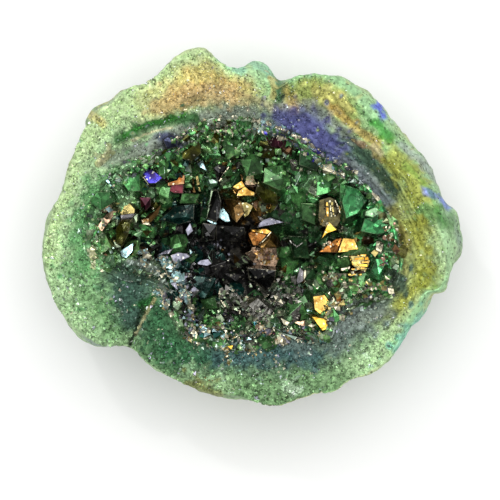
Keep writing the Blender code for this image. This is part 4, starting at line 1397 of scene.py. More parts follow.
# ---- Faces that stand out ----
# Broken tops of large crystals: (colour, lean of the face to +X and +Y in degrees, corners as
# seen from above at the rim's height, and for some how much higher they stand).
PLATES = (
    # Middle of the hollow
    ("gold", 0, 9, ((-2.95, 7.35), (-1.95, 6.9), (-0.9, 7.6), (-1.3, 8.5))),
    ("gold", 3, 7, ((-1.95, 6.9), (-2.35, 5.85), (0.7, 5.9), (0.92, 6.4), (-0.2, 6.95), (-0.9, 7.6))),
    ("peach", -4, 14, ((-0.95, 8.05), (-0.85, 7.75), (0.95, 7.7), (1.2, 8.1), (0.6, 8.9), (-0.45, 8.85))),
    ("umber", 8, -25, ((-0.8, 7.65), (-0.1, 6.95), (1, 6.9), (1.3, 7.6))),
    ("bronze", -14, 5, ((-4.5, 5.3), (-3.2, 2.2), (-2.3, 1.3), (-1, 3), (-1.6, 4.9), (-3.4, 5.4))),
    ("brass", 12, 4, ((-1.6, 4.7), (-0.9, 2.2), (-0.3, 2.6), (0.6, 4.2), (-0.6, 4.9))),
    ("ice", -4, 12, ((-5.4, 2.6), (-5.2, 2), (-4.2, 1.3), (-3.4, 1.5), (-3.6, 2.6), (-4.7, 3.85))),
    ("lilac", 4, 12, ((1.1, 0.35), (2.7, 0.6), (6, 1.3), (3.6, 2.15), (2.4, 1.9), (1.7, 1.2))),
    ("amber", -12, 12, ((-0.3, -0.75), (0.6, -2.7), (1.3, -2.75), (3, -0.75), (0.1, -0.2))),
    ("gold", -4, 16, ((0.1, -0.2), (3, -0.75), (3.75, -0.35), (2.95, 0.15), (0.15, 0.1))),
    ("bronze", 22, 2, ((1.3, -2.8), (2.1, -3.2), (4.6, -2.9), (4.65, -1.3), (3.75, -0.4))),
    ("clay", 3, -14, ((-0.9, -3.9), (1, -6.2), (4.5, -6.4), (4.75, -5.4), (4.5, -3), (1.2, -3.2))),
    ("pitch", 0, -30, ((-0.45, -6.5), (-0.2, -8.6), (1.7, -9.3), (3.2, -10.6), (4.3, -8.6),
     (4.55, -6.8))),
    ("pitch", -25, 0, ((-6.4, 7), (-7.3, 2), (-5.7, 1.3), (-5.2, 2.3), (-4.9, 4.8), (-5.5, 6.9))),
    ("smoke", -10, -20, ((-8.4, -2), (-6.2, -1.6), (-5.8, 0.9), (-8, 1.2))),
    ("smoke", 0, -25, ((-5.9, -1.8), (-0.9, -2), (-0.9, 0.4), (-5.7, 0.7))),
    ("olive", 14, -20, ((0.9, 6.6), (2.4, 4.6), (4.8, 4.3), (4.6, 6.4), (2.6, 7.2), (1.5, 8.2))),
    # Top
    ("ice", -2, 9, ((-9.2, 11.3), (-8.6, 10.7), (-7.35, 9.95), (-8.2, 12)), 2.2),
    ("smoke", 15, -18, ((-6.2, 10.7), (-5.6, 8.3), (-3.6, 10.7), (-5.4, 11.3))),
    ("green", 8, -4, ((2.4, 10.7), (2.4, 8.06), (5.05, 6.75), (6.9, 8.06), (6.75, 9.64), (5.7, 11.2))),
    ("green", -6, -12, ((-1.7, 12), (-0.5, 9.2), (2, 9.6), (2.3, 12.4), (0, 13.2))),
    ("green", 3, -6, ((-5, 15.6), (-4.4, 13.2), (-2.2, 13), (-1.6, 15.4), (-3.4, 16.6))),
    ("navy", 0, -6, ((-15, 15.4), (-14.2, 13.9), (-12.6, 14.2), (-12.3, 15.8), (-13.6, 16.4))),
    ("olive", 0, -20, ((1.6, 15.2), (1.9, 12.6), (4.2, 12), (5, 14.2), (3.6, 15.8))),
    ("maroon", -10, -4, ((2.6, 15.8), (3.6, 14.3), (5.2, 13.9), (6.6, 15.4), (4.4, 16.6)), 0.5),
    ("umber", 0, -12, ((5, 14.3), (5.9, 12.5), (7, 12.8), (7.4, 14.6))),
    ("ash", 0, -16, ((6.6, 12.2), (7.2, 10.2), (8.6, 10), (8.4, 12))),
    ("deep", 4, -14, ((8.6, 13.8), (8.4, 11.2), (11.4, 10.2), (12.4, 12.2), (10.4, 13.8))),
    ("olive", 10, -6, ((-11.6, 13.2), (-11.5, 12.2), (-9.9, 11.8), (-8.35, 13.2), (-8.7, 15.5),
     (-10.8, 14.7)), 0.9),
    # Left
    ("cream", -3, 12, ((-18.6, 9.3), (-17.4, 7.7), (-16, 7.8), (-14.6, 9), (-17.8, 11.3), (-18.3, 10.6))),
    ("violet", -3, 12, ((-18.35, 9.4), (-17.25, 8), (-16.1, 8), (-14.9, 9), (-17.7, 11.2),
     (-18.2, 10.6)), 1.3),
    ("amber", 5, 10, ((-14.1, 8.1), (-14, 7.7), (-11.3, 8), (-11.2, 9.3), (-11.7, 9.85), (-12.5, 8.6))),
    ("wine", 8, 4, ((-14, 7.7), (-14.4, 7.2), (-13.1, 6.3), (-11.4, 6.3), (-11.3, 8))),
    ("brass", -5, 12, ((-22.4, 3.3), (-22.2, 2.6), (-19.7, 2.9), (-19.6, 3.65), (-21.1, 4.9),
     (-22.1, 4.2))),
    ("pewter", 4, -8, ((-22.2, 2.6), (-22.2, 1.9), (-20.4, 1.8), (-19.7, 2.9))),
    ("peach", -3, 8, ((-26.5, -0.1), (-25.5, -0.3), (-22.9, 3.2), (-23.9, 3.8)), 1.1),
    ("maroon", 10, -14, ((-18.9, 5.6), (-18.8, 4), (-18, 3.25), (-17.1, 4.2), (-16.9, 5.6))),
    ("bronze", 12, 6, ((-18.6, 1.8), (-18.4, 1.1), (-17.4, 0.9), (-15.9, 2.6), (-15.3, 4.4),
     (-16.5, 3.2))),
    ("emerald", 6, -6, ((-22.4, 9), (-20.8, 6.6), (-18.8, 6.6), (-19, 9.6), (-20.5, 10.8)), 1),
    ("emerald", 10, 0, ((-27.4, 4.6), (-25.6, 3.4), (-23.4, 4.8), (-24.2, 6.6), (-26.2, 6.4)), 0.5),
    ("pine", -8, -12, ((-15.7, 1.8), (-12.2, 1), (-9.6, 1.8), (-9.6, 4.4), (-12.8, 4.1))),
    ("green", 6, 0, ((-12, 4.6), (-9.2, 4.6), (-8.7, 6.2), (-11.6, 6.2))),
    ("olive", -14, -4, ((-23, 0.2), (-23, -2.1), (-21.9, -2.9), (-20.7, -0.5), (-20.4, 1.8),
     (-22.2, 1.7)), 0.5),
    # Lower left
    ("lilac", 3, 9, ((-13.5, -4.4), (-12.85, -6.1), (-11.5, -5.3), (-10.1, -4.65), (-10.9, -4),
     (-12.3, -3.7))),
    ("lilac", -3, 13, ((-16.1, -4.4), (-14, -4.1), (-13.1, -3.1), (-14.55, -3.6))),
    ("lilac", 0, 10, ((-9, -5.6), (-8.9, -5.95), (-7.3, -6.2), (-6.4, -5.8), (-7.2, -5.05),
     (-8.5, -5.1))),
    ("lilac", 6, 6, ((-11, 0.1), (-10.75, -0.95), (-10.4, -0.9), (-9.8, -0.1), (-10.35, 1.4))),
    ("ice", 2, 8, ((-10.4, -3.2), (-10.2, -4.2), (-9.7, -3.86))),
    ("lilac", 0, 6, ((-11.9, -7.7), (-11.3, -8.6), (-10.6, -7.9))),
    ("ice", -4, 10, ((-22.3, -3.7), (-22, -4.5), (-21.1, -4.8), (-20.1, -3.6), (-19.9, -2.2)), 0.8),
    ("navy", 6, -20, ((-11.9, -15.6), (-11.2, -16.6), (-9.4, -16.6), (-8.7, -15.6), (-10.2, -14.8)), 0.9),
    ("ice", 0, 10, ((-10.9, -12.3), (-10.6, -14.2), (-9.9, -14.4), (-10.3, -12.6))),
    ("mist", 4, 8, ((-9.3, -14.75), (-8.1, -15.5), (-7.7, -13.4))),
    ("green", -6, -8, ((-8.4, -12), (-8, -13.6), (-5.6, -13.4), (-5.9, -11.6))),
    # Bottom
    ("cream", 0, 9, ((-5.5, -11.1), (-4.25, -11.1), (-5.1, -10))),
    ("ash", 3, 8, ((1.46, -9.4), (1.7, -10.4), (2.4, -11.4), (3.3, -11.1))),
    ("pewter", -6, 8, ((7.95, -8.7), (8.1, -9.4), (9.1, -8.7), (9.2, -7), (8.5, -6.35))),
    ("cream", -2, 10, ((9.1, -8.7), (9.6, -7.9), (9.66, -6.8), (9.3, -6.9)), 0.2),
    ("pewter", -8, -6, ((-5.1, -15.3), (-3.2, -16.7), (-2.6, -15.4), (-3.3, -14.5))),
    ("cream", 4, 9, ((5.07, -15.04), (5.6, -16.2), (6.6, -16.6), (7.04, -15.96)), 0.6),
    ("peach", 0, 8, ((7.3, -15.8), (8.6, -16.6), (9.46, -17), (9.4, -15.6)), 0.6),
    ("ice", 0, 8, ((9.6, -13.6), (10.2, -15), (10.6, -13.9)), 0.5),
    ("mist", 2, 6, ((4.4, -16.8), (5, -17), (8, -18.4), (7.8, -18.8), (4.8, -17.6)), 0.6),
    ("ice", 2, 9, ((-8.4, -16.5), (-7.9, -17.9), (-6.8, -17)), 0.8),
    ("ice", -4, 7, ((-6.7, -17.1), (-6.2, -18), (-5.6, -17.6)), 0.8),
    ("sun", 0, 9, ((-5.2, -18.4), (-4.3, -19.5), (-3.4, -18.3)), 0.8),
    ("sun", 4, 7, ((-4, -19.9), (-3.3, -20.6), (-2.8, -19.8)), 0.8),
    ("magenta", 0, 9, ((-2.1, -16.2), (-1.7, -17.4), (-1.2, -16.3))),
    ("aqua", -2, 9, ((0.5, -15.4), (0.6, -16.4), (1, -16.6), (1.3, -15.5))),
    ("cream", 2, 12, ((-2.7, -13.5), (-2.5, -14.6), (-1.8, -14.8), (-1.5, -13.7))),
    ("leaf", -4, -4, ((-6.4, -16), (-5.4, -17.4), (-3, -17.2), (-4, -15.8))),
    # Right
    ("sun", 0, 9, ((12.1, -1.6), (13.15, -0.6), (14.95, 0), (13.4, 1.35)), 1.7),
    ("copper", -8, 12, ((11.85, -3.75), (15, -3.8), (15.9, -1.45), (14.7, -1.4))),
    ("gold", 0, 8, ((15, -3.8), (18.65, -3.55), (18, -1.55), (15.9, -1.45))),
    ("honey", 4, -3, ((11.9, 5.2), (11.7, 1.8), (12.5, 0.5), (15, 0.6), (16.3, 2.6), (15.5, 4.9),
     (13.6, 5.6))),
    ("emerald", -6, 0, ((15.4, 8), (15.4, 5.4), (16.6, 2.7), (18.2, 4.6), (18.1, 7.2))),
    ("vivid", -6, -2, ((16.4, 2), (18.4, 2.8), (20, 5), (18.7, 7), (16.7, 7.6), (15.8, 4.8)), 0.9),
    ("mint", -10, 2, ((19.8, 3.2), (19.8, 2.4), (21.1, 2.2), (22.8, 3), (21.4, 3.9)), 0.8),
    ("vivid", -14, 4, ((19, -0.2), (21.9, -0.7), (23.7, -0.4), (24.2, 1), (23.2, 3.1), (21.2, 2.3),
     (19.6, 2)), 1.4),
    ("umber", -6, -14, ((19.4, -0.2), (19.5, -2.5), (21.3, -2.5), (21.2, -0.2))),
    ("brass", 0, 6, ((17.2, -4.3), (20.3, -4.4), (20.6, -5.4), (19.8, -7.2), (17.8, -6.3)), 0.15),
    ("cream", 0, 8, ((23.4, -9.8), (24.6, -10), (24.9, -11.1), (23.9, -11)), 0.4),
    ("cream", 0, 8, ((18.2, -10.2), (18.7, -11.4), (19.4, -11.2), (18.9, -10)), 0.3),
    ("cream", 4, 8, ((21.6, -1.7), (21.6, -3.4), (22.6, -3.9), (23, -2.2))),
    ("brass", -4, 9, ((20.6, -3.9), (21.4, -4.8), (22.2, -3.9), (21.4, -3.2))),
    ("cream", 0, 8, ((18.1, 4.1), (18.4, 3.2), (19, 3.3), (18.9, 4.1))),
    ("vivid", -10, -2, ((20.3, -8), (21.6, -5), (23.8, -5), (22.2, -8.8)), 0.8),
    ("gold", -3, 6, ((10.9, -11.4), (11.1, -13.6), (12.1, -14.5), (13.9, -12.8), (12.8, -11.1)), 1.2),
    ("sun", 2, 10, ((10.6, -14.9), (12.4, -17.3), (13.7, -16.8), (13.8, -15.4)), 1.5),
    ("copper", 6, 8, ((14.6, -11.2), (15, -13), (15.6, -12.9), (15.5, -11.2)), 1.4),
    ("brass", 0, 9, ((15, -13), (15.4, -14.1), (16.5, -13), (16.2, -11.8), (15.6, -12.2)), 1.4),
    ("deep", 8, -14, ((6.6, -1), (7.4, -4.6), (10.2, -4.8), (9.6, -1.2)), -1.2),
    ("green", -4, -10, ((8.8, 4.6), (9, 1.8), (11.2, 1), (11.4, 4.4))),
    ("leaf", 8, 2, ((-27.8, 0.2), (-27.4, -2.4), (-25.6, -4.2), (-23.8, -3), (-24.8, -0.8),
     (-26.4, 0.6)), 0.3),
)
# Narrow bright faces: steps of growth, and painted highlights where edges catch the light: (colour, start,
# end, width).
BARS = (
    ("gold", (17.1, -4.5), (20, -4.4), 0.35), ("sun", (17.2, -5), (20.4, -4.9), 0.45),
    ("gold", (17.3, -5.5), (20.5, -5.5), 0.4), ("sun", (17.5, -6), (20.2, -6), 0.4),
    ("cream", (15.6, -6.6), (17.2, -6.5), 0.4), ("gold", (17.3, -6.7), (19.8, -6.5), 0.3),
    ("umber", (17.2, -7.1), (19.6, -7), 0.5), ("gold", (16.8, -7.7), (19.2, -7.6), 0.25),
    ("cream", (15, -4.5), (17, -4.6), 0.22),
    ("brass", (12.3, 4.6), (12.6, 2), 0.3), ("gold", (13.2, 4.9), (13.4, 2.2), 0.28),
    ("umber", (12.8, 5), (13, 2.1), 0.34), ("cream", (13.7, 4.4), (13.9, 2.6), 0.16),
    ("umber", (14.8, 4.9), (15, 2.4), 0.36), ("gold", (15.3, 4.2), (15.6, 2.4), 0.2),
    ("cream", (14.5, 5.2), (15.4, 2.8), 0.22), ("brass", (14, 4.9), (14.3, 2.4), 0.3),
    ("haze", (-6.5, 6.9), (-7.5, 1.8), 0.14), ("ice", (-7.4, 1.7), (-5.7, 1), 0.4),
    ("mist", (0.8, -6.35), (4.6, -6.65), 0.22), ("cream", (1.2, -2.85), (3.8, -0.35), 0.12),
    ("cream", (-11, 15.5), (-11.7, 13.3), 0.22), ("cream", (-3.6, 10.9), (-5.5, 8.3), 0.16),
    ("cream", (-18.4, 1.1), (-17, 1), 0.3),
    ("brass", (-9.2, 9.2), (-8.6, 6.6), 0.35), ("bronze", (-9.9, 9), (-9.5, 6.4), 0.5),
    ("cream", (-4.9, -12), (-4.2, -13.2), 0.25), ("silver", (6.8, -1.8), (7.9, -3), 0.22),
    ("silver", (7.9, -3), (9.1, -2.1), 0.2), ("ice", (-26, 5.8), (-24.3, 6.1), 0.4),
    ("mist", (-28.1, 2.6), (-26.8, 2.2), 0.45), ("ice", (-24.6, 8.6), (-23.5, 7.2), 0.4),
    ("mist", (-27.6, -1.2), (-26.9, -2), 0.35),
)
# Colours of the plates that are dark glass, with a low peak in place of a flat face.
GLASSY = (
    "emerald", "green", "leaf", "vivid", "olive", "pine", "deep", "pitch", "smoke", "ash", "umber", "navy",
    "maroon", "mist", "bronze",
)
PLATE_PEAK = 0.45  # height of a glassy one's peak, as a share of its reach
PLATE_RISE = 4.4  # height above the crust in the middle of the hollow
PLATE_ROOM = 0.3  # left between a plate and the crystals under it
PLATE_CLEAR = 0.9  # least height above the crust under any corner
BAR_RISE = 0.5  # by which a bar stands higher than a plate
PLATE_FLARE = 1.45  # width of the root against the face
PLATE_ROOT = 3.2  # depth of the root under the face
PLATE_BEVEL = 0.08
PLATE_JITTER = 0.1
CAMERA_HEIGHT = 450
CAMERA_Y = -3.43
RIM_PLANE = 24  # height at which the corners are given


def bar_pieces(rng):
    """The bars as rows like those of PLATES, each bar broken into three uneven lengths."""
    rows = []
    for name, start, end, width in BARS:
        start, run = np.array(start), np.subtract(end, start)
        aside = np.array((-run[1], run[0])) / np.hypot(*run)
        breaks = np.concatenate([[0], np.sort(rng.uniform(0.2, 0.8, 2)), [1]])
        for a, b in zip(breaks, breaks[1:]):
            half = width * rng.uniform(0.35, 0.6)
            near, far = start + run * a, start + run * (b - 0.02)
            middle = aside * rng.normal(0, 0.06)
            edge = aside * half
            outline = [corner + middle for corner in (near - edge, far - edge, far + edge, near + edge)]
            rows.append((name, rng.uniform(-5, 5), rng.uniform(4, 14), outline))
    return rows


def plate_tops():
    """[(colour name, corners (n, 3), normal)] of the plates and bars, in place.

    A plate stands above the crust by its rise, less near the hollow's edge, and clear of the
    crust under all its corners. Its corners, as seen at the rim's height, spread from the
    camera's axis in proportion to their distance.
    """
    tops, rng = [], np.random.default_rng(CRYSTAL_SEED + 7)
    rows = [*PLATES, *bar_pieces(rng)]
    for i, (name, lean_x, lean_y, outline, *lift) in enumerate(rows):
        seen = np.array(outline) + rng.uniform(-PLATE_JITTER, PLATE_JITTER, (len(outline), 2))
        middle = seen.mean(axis=0)
        _, down = place_in_hollow(middle[:1], middle[1:])
        around = np.vstack([middle, seen])
        floor, _ = ground_point(around[:, 0], around[:, 1])
        rise = PLATE_RISE * np.clip(0.50 + down[0] / 0.42, 0, 1) + sum(lift)
        rise += BAR_RISE if i >= len(PLATES) else 0.0
        level = max(floor[0, 2] + rise, floor[1:, 2].max() + PLATE_CLEAR)
        spread = (CAMERA_HEIGHT - level) / (CAMERA_HEIGHT - RIM_PLANE)
        plan = (seen - (0, CAMERA_Y)) * spread + (0, CAMERA_Y)
        slope = np.tan(np.radians((lean_x, lean_y)))
        height = level - (plan - plan.mean(axis=0)) @ slope
        tops.append((name, np.column_stack([plan, height]), unit(np.array([*slope, 1.0]))))
    return tops


def make_plates():
    """Each plate as a closed frustum: a flat face, a narrow bevel round it and flaring sides.

    A glassy one has a low peak off its middle in place of the flat face. The bevel is painted
    paler than the face, as a painted highlight, and the sides darker, as painted shade.
    """
    vertices, painted, faces = [], [], {}
    start, rng = 0, np.random.default_rng(CRYSTAL_SEED + 8)

    def add_face(corners, colour):
        faces.setdefault(len(corners), []).append((corners, colour))

    def shaded(colour, factor):
        return colour * (factor, factor, factor, 1)

    for name, top, _ in plate_tops():
        count = len(top)
        middle = top.mean(axis=0)
        reach = np.linalg.norm(top - middle, axis=1).min()
        colour = np.array(FACE_COLOURS[name])
        # The bevel's colour, a quarter of the way to cream: a painted highlight along the plate's edge.
        light = 0.75 * colour + 0.25 * np.array(FACE_COLOURS["cream"])
        inner = middle + (top - middle) * (1 - min(PLATE_BEVEL / reach, 0.4))
        outer = top - (0, 0, PLATE_BEVEL * 0.6)
        root = middle + (top - middle) * PLATE_FLARE - (0, 0, PLATE_ROOT)
        lean = (inner[rng.integers(count)] - middle) * rng.uniform(0.1, 0.5)
        peak = middle + lean + (0, 0, PLATE_PEAK * reach * (name in GLASSY))
        vertices += [inner, outer, root, peak[None]]
        ring = start + np.arange(count)
        beside = start + (np.arange(count) + 1) % count
        if name not in GLASSY:
            add_face(tuple(ring), colour)
        for a, b in zip(ring, beside):
            if name in GLASSY:
                add_face((a, b, start + 3 * count), shaded(colour, rng.lognormal(-0.15, 0.38)))
            add_face((a + count, b + count, b, a), light)
            side = (a + 2 * count, b + 2 * count, b + count, a + count)
            # Sides at about 0.4 of the face's lightness: painted shade.
            add_face(side, shaded(colour, rng.lognormal(-0.9, 0.45)))
        add_face(tuple(ring[::-1] + 2 * count), colour)
        start += 3 * count + 1
    groups = []
    for entries in faces.values():
        groups.append(np.array([corners for corners, _ in entries]))
        painted.append(np.array([colour for _, colour in entries]))
    return film_mesh("aura_faces", np.concatenate(vertices), groups, np.concatenate(painted))


def below_plates(corners, feet, axes, lengths, tops):
    """Lengths cut down where a crystal would stand through or over a plate.

    A crystal is near a plate when the plate's middle is close in plan to the run from its foot
    to its tip.
    """
    lengths = lengths.copy()
    radius = np.linalg.norm(corners[:, 0] - corners[:, :6].mean(axis=1), axis=1)
    run = corners[:, 12, :2] - feet[:, :2]
    for _, top, _ in tops:
        middle = top.mean(axis=0)
        reach = np.linalg.norm((top - middle)[:, :2], axis=1).mean()
        share = ((middle[:2] - feet[:, :2]) * run).sum(1) / np.maximum((run**2).sum(1), 1e-9)
        closest = feet[:, :2] + run * np.clip(share, 0, 1)[:, None]
        near = np.linalg.norm(closest - middle[:2], axis=1) < reach * 0.85 + 0.55 * radius
        room = (top[:, 2].min() - PLATE_ROOM - feet[:, 2]) / np.maximum(axes[:, 2], 0.3)
        lengths = np.where(near, np.minimum(lengths, np.maximum(room, SHORTEST)), lengths)
    return lengths


def make_large_crystals(settings):
    """The solids' crystals, with chamfered edges, cut down where a bright face lies over them."""
    feet, axes, radii, lengths, turns = crystal_places()
    axes = unit(axes)
    feet, lengths = feet - axes, lengths + 1
    random = np.random.default_rng(CRYSTAL_SEED + 1).random((len(feet), 9))
    corners = point_corners(feet, axes, radii, lengths, turns, random)
    lengths = below_plates(corners, feet, axes, lengths, plate_tops())
    lengths = lengths * (1 - 0.5 * nearness(feet, BARE_ZONES))
    corners = point_corners(feet, axes, radii, lengths, turns, random)
    rng = np.random.default_rng(settings.seed)
    colours = face_colours(corners[:, 12], settings.film_share * 0.8, rng)
    width = settings.edge_width * rng.uniform(0.6, 1.2, len(feet))
    return crystal_piece("crystal_points", corners, colours, rng, width)


def grow_points(name, settings, rng, count, sizes, chamfered):
    """Crystals with feet anywhere on the wall. sizes is (typical radius, spread, largest)."""
    theta = rng.uniform(0, 2 * math.pi, count * 3)
    down = rng.uniform(0.02, 1.0, count * 3)
    share = (np.cos(down * math.pi / 2) ** WALL_STEEPNESS + 0.03) * np.clip(0.25 + down / 0.16, 0, 1)
    share = share * (1 - nearness(wall_surface(theta, down), BARE_ZONES))
    keep = rng.random(count * 3) < share
    theta, down = theta[keep][:count], down[keep][:count]
    count = len(theta)
    typical, spread, largest = sizes
    radii = np.minimum(typical * rng.lognormal(0, spread, count), largest)
    radii = radii * np.clip(0.75 + down, 0, 1)
    normals = wall_normals(theta, down)
    axes = unit(normals + rng.normal(0, SMALL_SLANT, (count, 3)) + (0, 0, UPRIGHT))
    feet = wall_surface(theta, down) + normals * (crust_depth(down) - 0.5 * radii)[:, None]
    lengths = radii * rng.uniform(*SMALL_LENGTHS, count)
    turns, random = rng.uniform(0, 60, count), rng.random((count, 9))
    corners = point_corners(feet, axes, radii, lengths, turns, random, UNEVENNESS)
    lengths = below_plates(corners, feet, axes, lengths, plate_tops())
    corners = point_corners(feet, axes, radii, lengths, turns, random, UNEVENNESS)
    colours = face_colours(corners[:, 12], settings.film_share, rng)
    width = np.minimum(settings.edge_width * 0.8, radii * 0.08) if chamfered else None
    return crystal_piece(name, corners, colours, rng, width)


def make_border(settings):
    """Crystals that straddle the hollow's edge, in the rim's colours, and break its line up."""
    rng = np.random.default_rng(settings.seed + 4)
    count = settings.border_count
    theta = rng.uniform(0, 2 * math.pi, count)
    place = np.maximum(rng.normal(0.025, 0.035, count), -0.03)
    across, down = np.clip(1 + place, 0, 1), np.clip(place, 0, 1)
    on_rim = (place < 0)[:, None]
    crust, crust_up = crust_points(theta, down)
    normals = np.where(on_rim, face_normals(theta, across), crust_up)
    radii = BORDER_RADIUS * rng.lognormal(0, 0.42, count)
    feet = np.where(on_rim, face_surface(theta, across), crust) - normals * 0.6 * radii[:, None]
    axes = unit(normals + rng.normal(0, 0.5, (count, 3)) + (0, 0, 0.3))
    corners = point_corners(
        feet, axes, radii, radii * rng.uniform(1.5, 2.4, count), rng.uniform(0, 60, count),
        rng.random((count, 9)), UNEVENNESS,
    )
    colours = face_colours(corners[:, 12], settings.film_share, rng)
    faces = len(POINT_FACES)
    rim = rim_colour(feet, theta, across)[:, None] * rng.lognormal(-0.1, 0.32, (count, faces, 1))
    rim = with_film(rim, 0.35)
    coated = (rng.random(count) < 0.75 - 6 * down)[:, None, None]
    bright = (rng.random((count, faces)) < 0.08)[..., None]
    colours = np.where(coated, rim, colours)
    colours = np.where(bright, np.array(FACE_COLOURS["cream"]), colours)
    return crystal_piece("border_crystals", corners, colours, rng)


# ---- Glitter ----
# Trails of tiny crystals: (half width, crystals to a square millimetre, their size against the
# others', {colour: share}, path of (x, y)).
GLITTER = (
    (0.85, 21, 1.2, dict(ice=11, cream=8, lilac=2, mist=5, pine=1),
     ((-20.6, -4.4), (-19.2, -5), (-17.3, -5.8), (-15.1, -7.1), (-14.2, -8.8), (-13.4, -10.8),
     (-12.3, -12.6))),
    (0.6, 7, 0.9, dict(cream=5, ice=3, brass=1), ((-19.5, -7.2), (-16.5, -9.4), (-15.2, -11.4),
     (-14.2, -13.4))),
    (0.7, 7, 1.2, dict(ice=4, cream=6, lilac=3, brass=1, pine=2),
     ((-11.4, -13.2), (-12.2, -15.8), (-10.3, -18.5), (-4.4, -19.2))),
    (0.45, 10, 1, dict(cream=6, peach=2, lilac=2), ((-15.9, -8.4), (-15.1, -10.6), (-13, -12.6))),
    (0.55, 8, 0.9, dict(cream=6, ice=2, lilac=2, pine=2, green=2, mist=2, brass=1),
     ((-11.2, -18), (-6.6, -19.8), (-1, -20.2), (3, -19), (7, -18.4), (11.8, -19.2))),
    (0.9, 6, 1.2, dict(gold=1, cream=5, magenta=1, lilac=2, peach=2), ((1.1, -17.8),
     (3.6, -18.4), (6.4, -18.6))),
    (0.5, 7, 0.8, dict(cream=5, brass=3, gold=2), ((-4.4, -20), (-3.2, -23.8))),
    (1, 2, 0.7, dict(cream=5, brass=3), ((-1.6, -21), (4.6, -21.4))),
    (1.6, 1.2, 0.7, dict(cream=5, brass=4), ((-9.6, -25.4), (-6, -26.6))),
    (2.6, 3.4, 1.2, dict(silver=5, cream=2, smoke=3, mist=1, haze=3, ash=4),
     ((-6, -13.6), (0, -14.2), (6, -13.2), (9, -10.6))),
    (0.8, 7, 1.3, dict(cream=5, brass=3, green=3, lilac=1, leaf=3),
     ((14.4, -15.4), (17, -13.2), (20, -12), (24.6, -10.2))),
    (0.5, 7, 0.9, dict(rose=2, cream=2, umber=3, lilac=1), ((24.4, -5.8), (25.4, -4),
     (25.4, -1.6), (24.3, 1.4))),
    (0.34, 18, 1, dict(lilac=2, cream=7, ice=2, violet=1),
     ((18.6, 9.6), (15.3, 11), (13.1, 12.2), (11.4, 13.5), (8.3, 15.9), (3.9, 17.8), (0.6, 18.9))),
    (0.7, 4, 1, dict(cream=4, silver=2, leaf=3, green=2), ((0, 18.9), (-7.4, 18.4),
     (-10.9, 16.4), (-14, 14.4))),
    (0.8, 4, 1, dict(silver=1, lilac=1, green=3, mist=2, emerald=5, leaf=2),
     ((-15.5, 13.2), (-20.2, 11.6), (-24.4, 8.4))),
    (1.6, 1.6, 1, dict(leaf=5, emerald=2, mist=3, ice=1, haze=3, cream=1),
     ((-26.6, 5.4), (-28, 0.4), (-27.4, -4), (-24.6, -6.4))),
    (1.1, 9, 1, dict(rose=4, peach=3, cream=2, bronze=5), ((0.6, -3.9), (4, -4.2), (3.4, -5.6),
     (1.2, -5.6))),
    (2.6, 1, 1, dict(smoke=5, lilac=1, ash=3, pitch=4), ((-9, -2.6), (-5, -3.6), (-3, -6))),
    (2.4, 2, 1.3, dict(cream=3, brass=3, haze=5, green=3), ((15, -8.8), (19, -9))),
    (0.8, 6, 1.2, dict(cream=6, brass=4, haze=2), ((13.6, -8.9), (15.4, -9.4), (16, -8.4))),
    (0.5, 5, 0.9, dict(cream=6, peach=3), ((13.2, -2.9), (15, -2.2))),
    (0.7, 2, 0.9, dict(cream=3, gold=4, brass=3), ((12.6, 3.8), (14.6, 3.6), (15, 1.8))),
    (2.2, 0.8, 1.1, dict(green=5, mist=2, leaf=4, cream=1),
     ((-8, 15.6), (-2, 16.4), (6, 12.6), (14, 9))),
)
RIM_GLITTER_LIFT = 0.16  # of a tiny crystal's foot over the rim
GLITTER_LIFT = -0.06  # the same over the crystals in the hollow, into which it sinks
GLITTER_PAINTED_SPARKLE = (1.25, 1.25, 1.25, 0.55)  # against the face colours: lighter, with less film, so that they stay bright whatever they mirror: painted sparkle
COVER_CELL = 0.25
COVER_REACH = 34
COVERED_BY = ("crystal_points", "aura_faces", "middling_crystals", "small_crystals", "border_crystals")


def scatter_on_path(rng, path, half_width, density):
    """Points (n, 2) along a path: evenly along it, with a normal spread across it."""
    corners = np.array(path, float)
    runs = np.diff(corners, axis=0)
    reach = np.hypot(*runs.T)
    count = int(density * reach.sum() * 2 * half_width)
    piece = np.searchsorted(np.cumsum(reach) / reach.sum(), rng.random(count))
    piece = np.minimum(piece, len(runs) - 1)
    aside = runs[piece][:, ::-1] * (-1, 1) / reach[piece][:, None]
    place = corners[piece] + runs[piece] * rng.random((count, 1))
    return place + aside * rng.normal(0, half_width * 0.6, (count, 1))


def cover_height(x, y):
    """Height of the topmost crystal face over each (x, y), and 0 where there is none.

    Points are strewn over every triangle, about three to a cell of a square grid, each cell
    keeps its highest point, and a place looks up the cell that it is in.
    """
    rng = np.random.default_rng(CRYSTAL_SEED + 9)
    cells = int(2 * COVER_REACH / COVER_CELL)
    top = np.zeros((cells, cells))

    def cell_of(values):
        return np.clip((values + COVER_REACH) / COVER_CELL, 0, cells - 1).astype(int)

    for name in COVERED_BY:
        mesh = bpy.data.objects[name].data
        mesh.calc_loop_triangles()
        places = np.empty(len(mesh.vertices) * 3)
        triangles = np.empty(len(mesh.loop_triangles) * 3, int)
        mesh.vertices.foreach_get("co", places)
        mesh.loop_triangles.foreach_get("vertices", triangles)
        corners = places.reshape(-1, 3)[triangles.reshape(-1, 3)] / MM
        one, two = corners[:, 1] - corners[:, 0], corners[:, 2] - corners[:, 0]
        area = np.abs(one[:, 0] * two[:, 1] - one[:, 1] * two[:, 0]) / 2
        which = np.repeat(np.arange(len(corners)), 1 + (3 * area / COVER_CELL**2).astype(int))
        share = rng.random((len(which), 2))
        share = np.where(share.sum(axis=1, keepdims=True) > 1, 1 - share, share)
        spots = corners[which, 0] + one[which] * share[:, :1] + two[which] * share[:, 1:]
        np.maximum.at(top, (cell_of(spots[:, 0]), cell_of(spots[:, 1])), spots[:, 2])
    return top[cell_of(x), cell_of(y)]


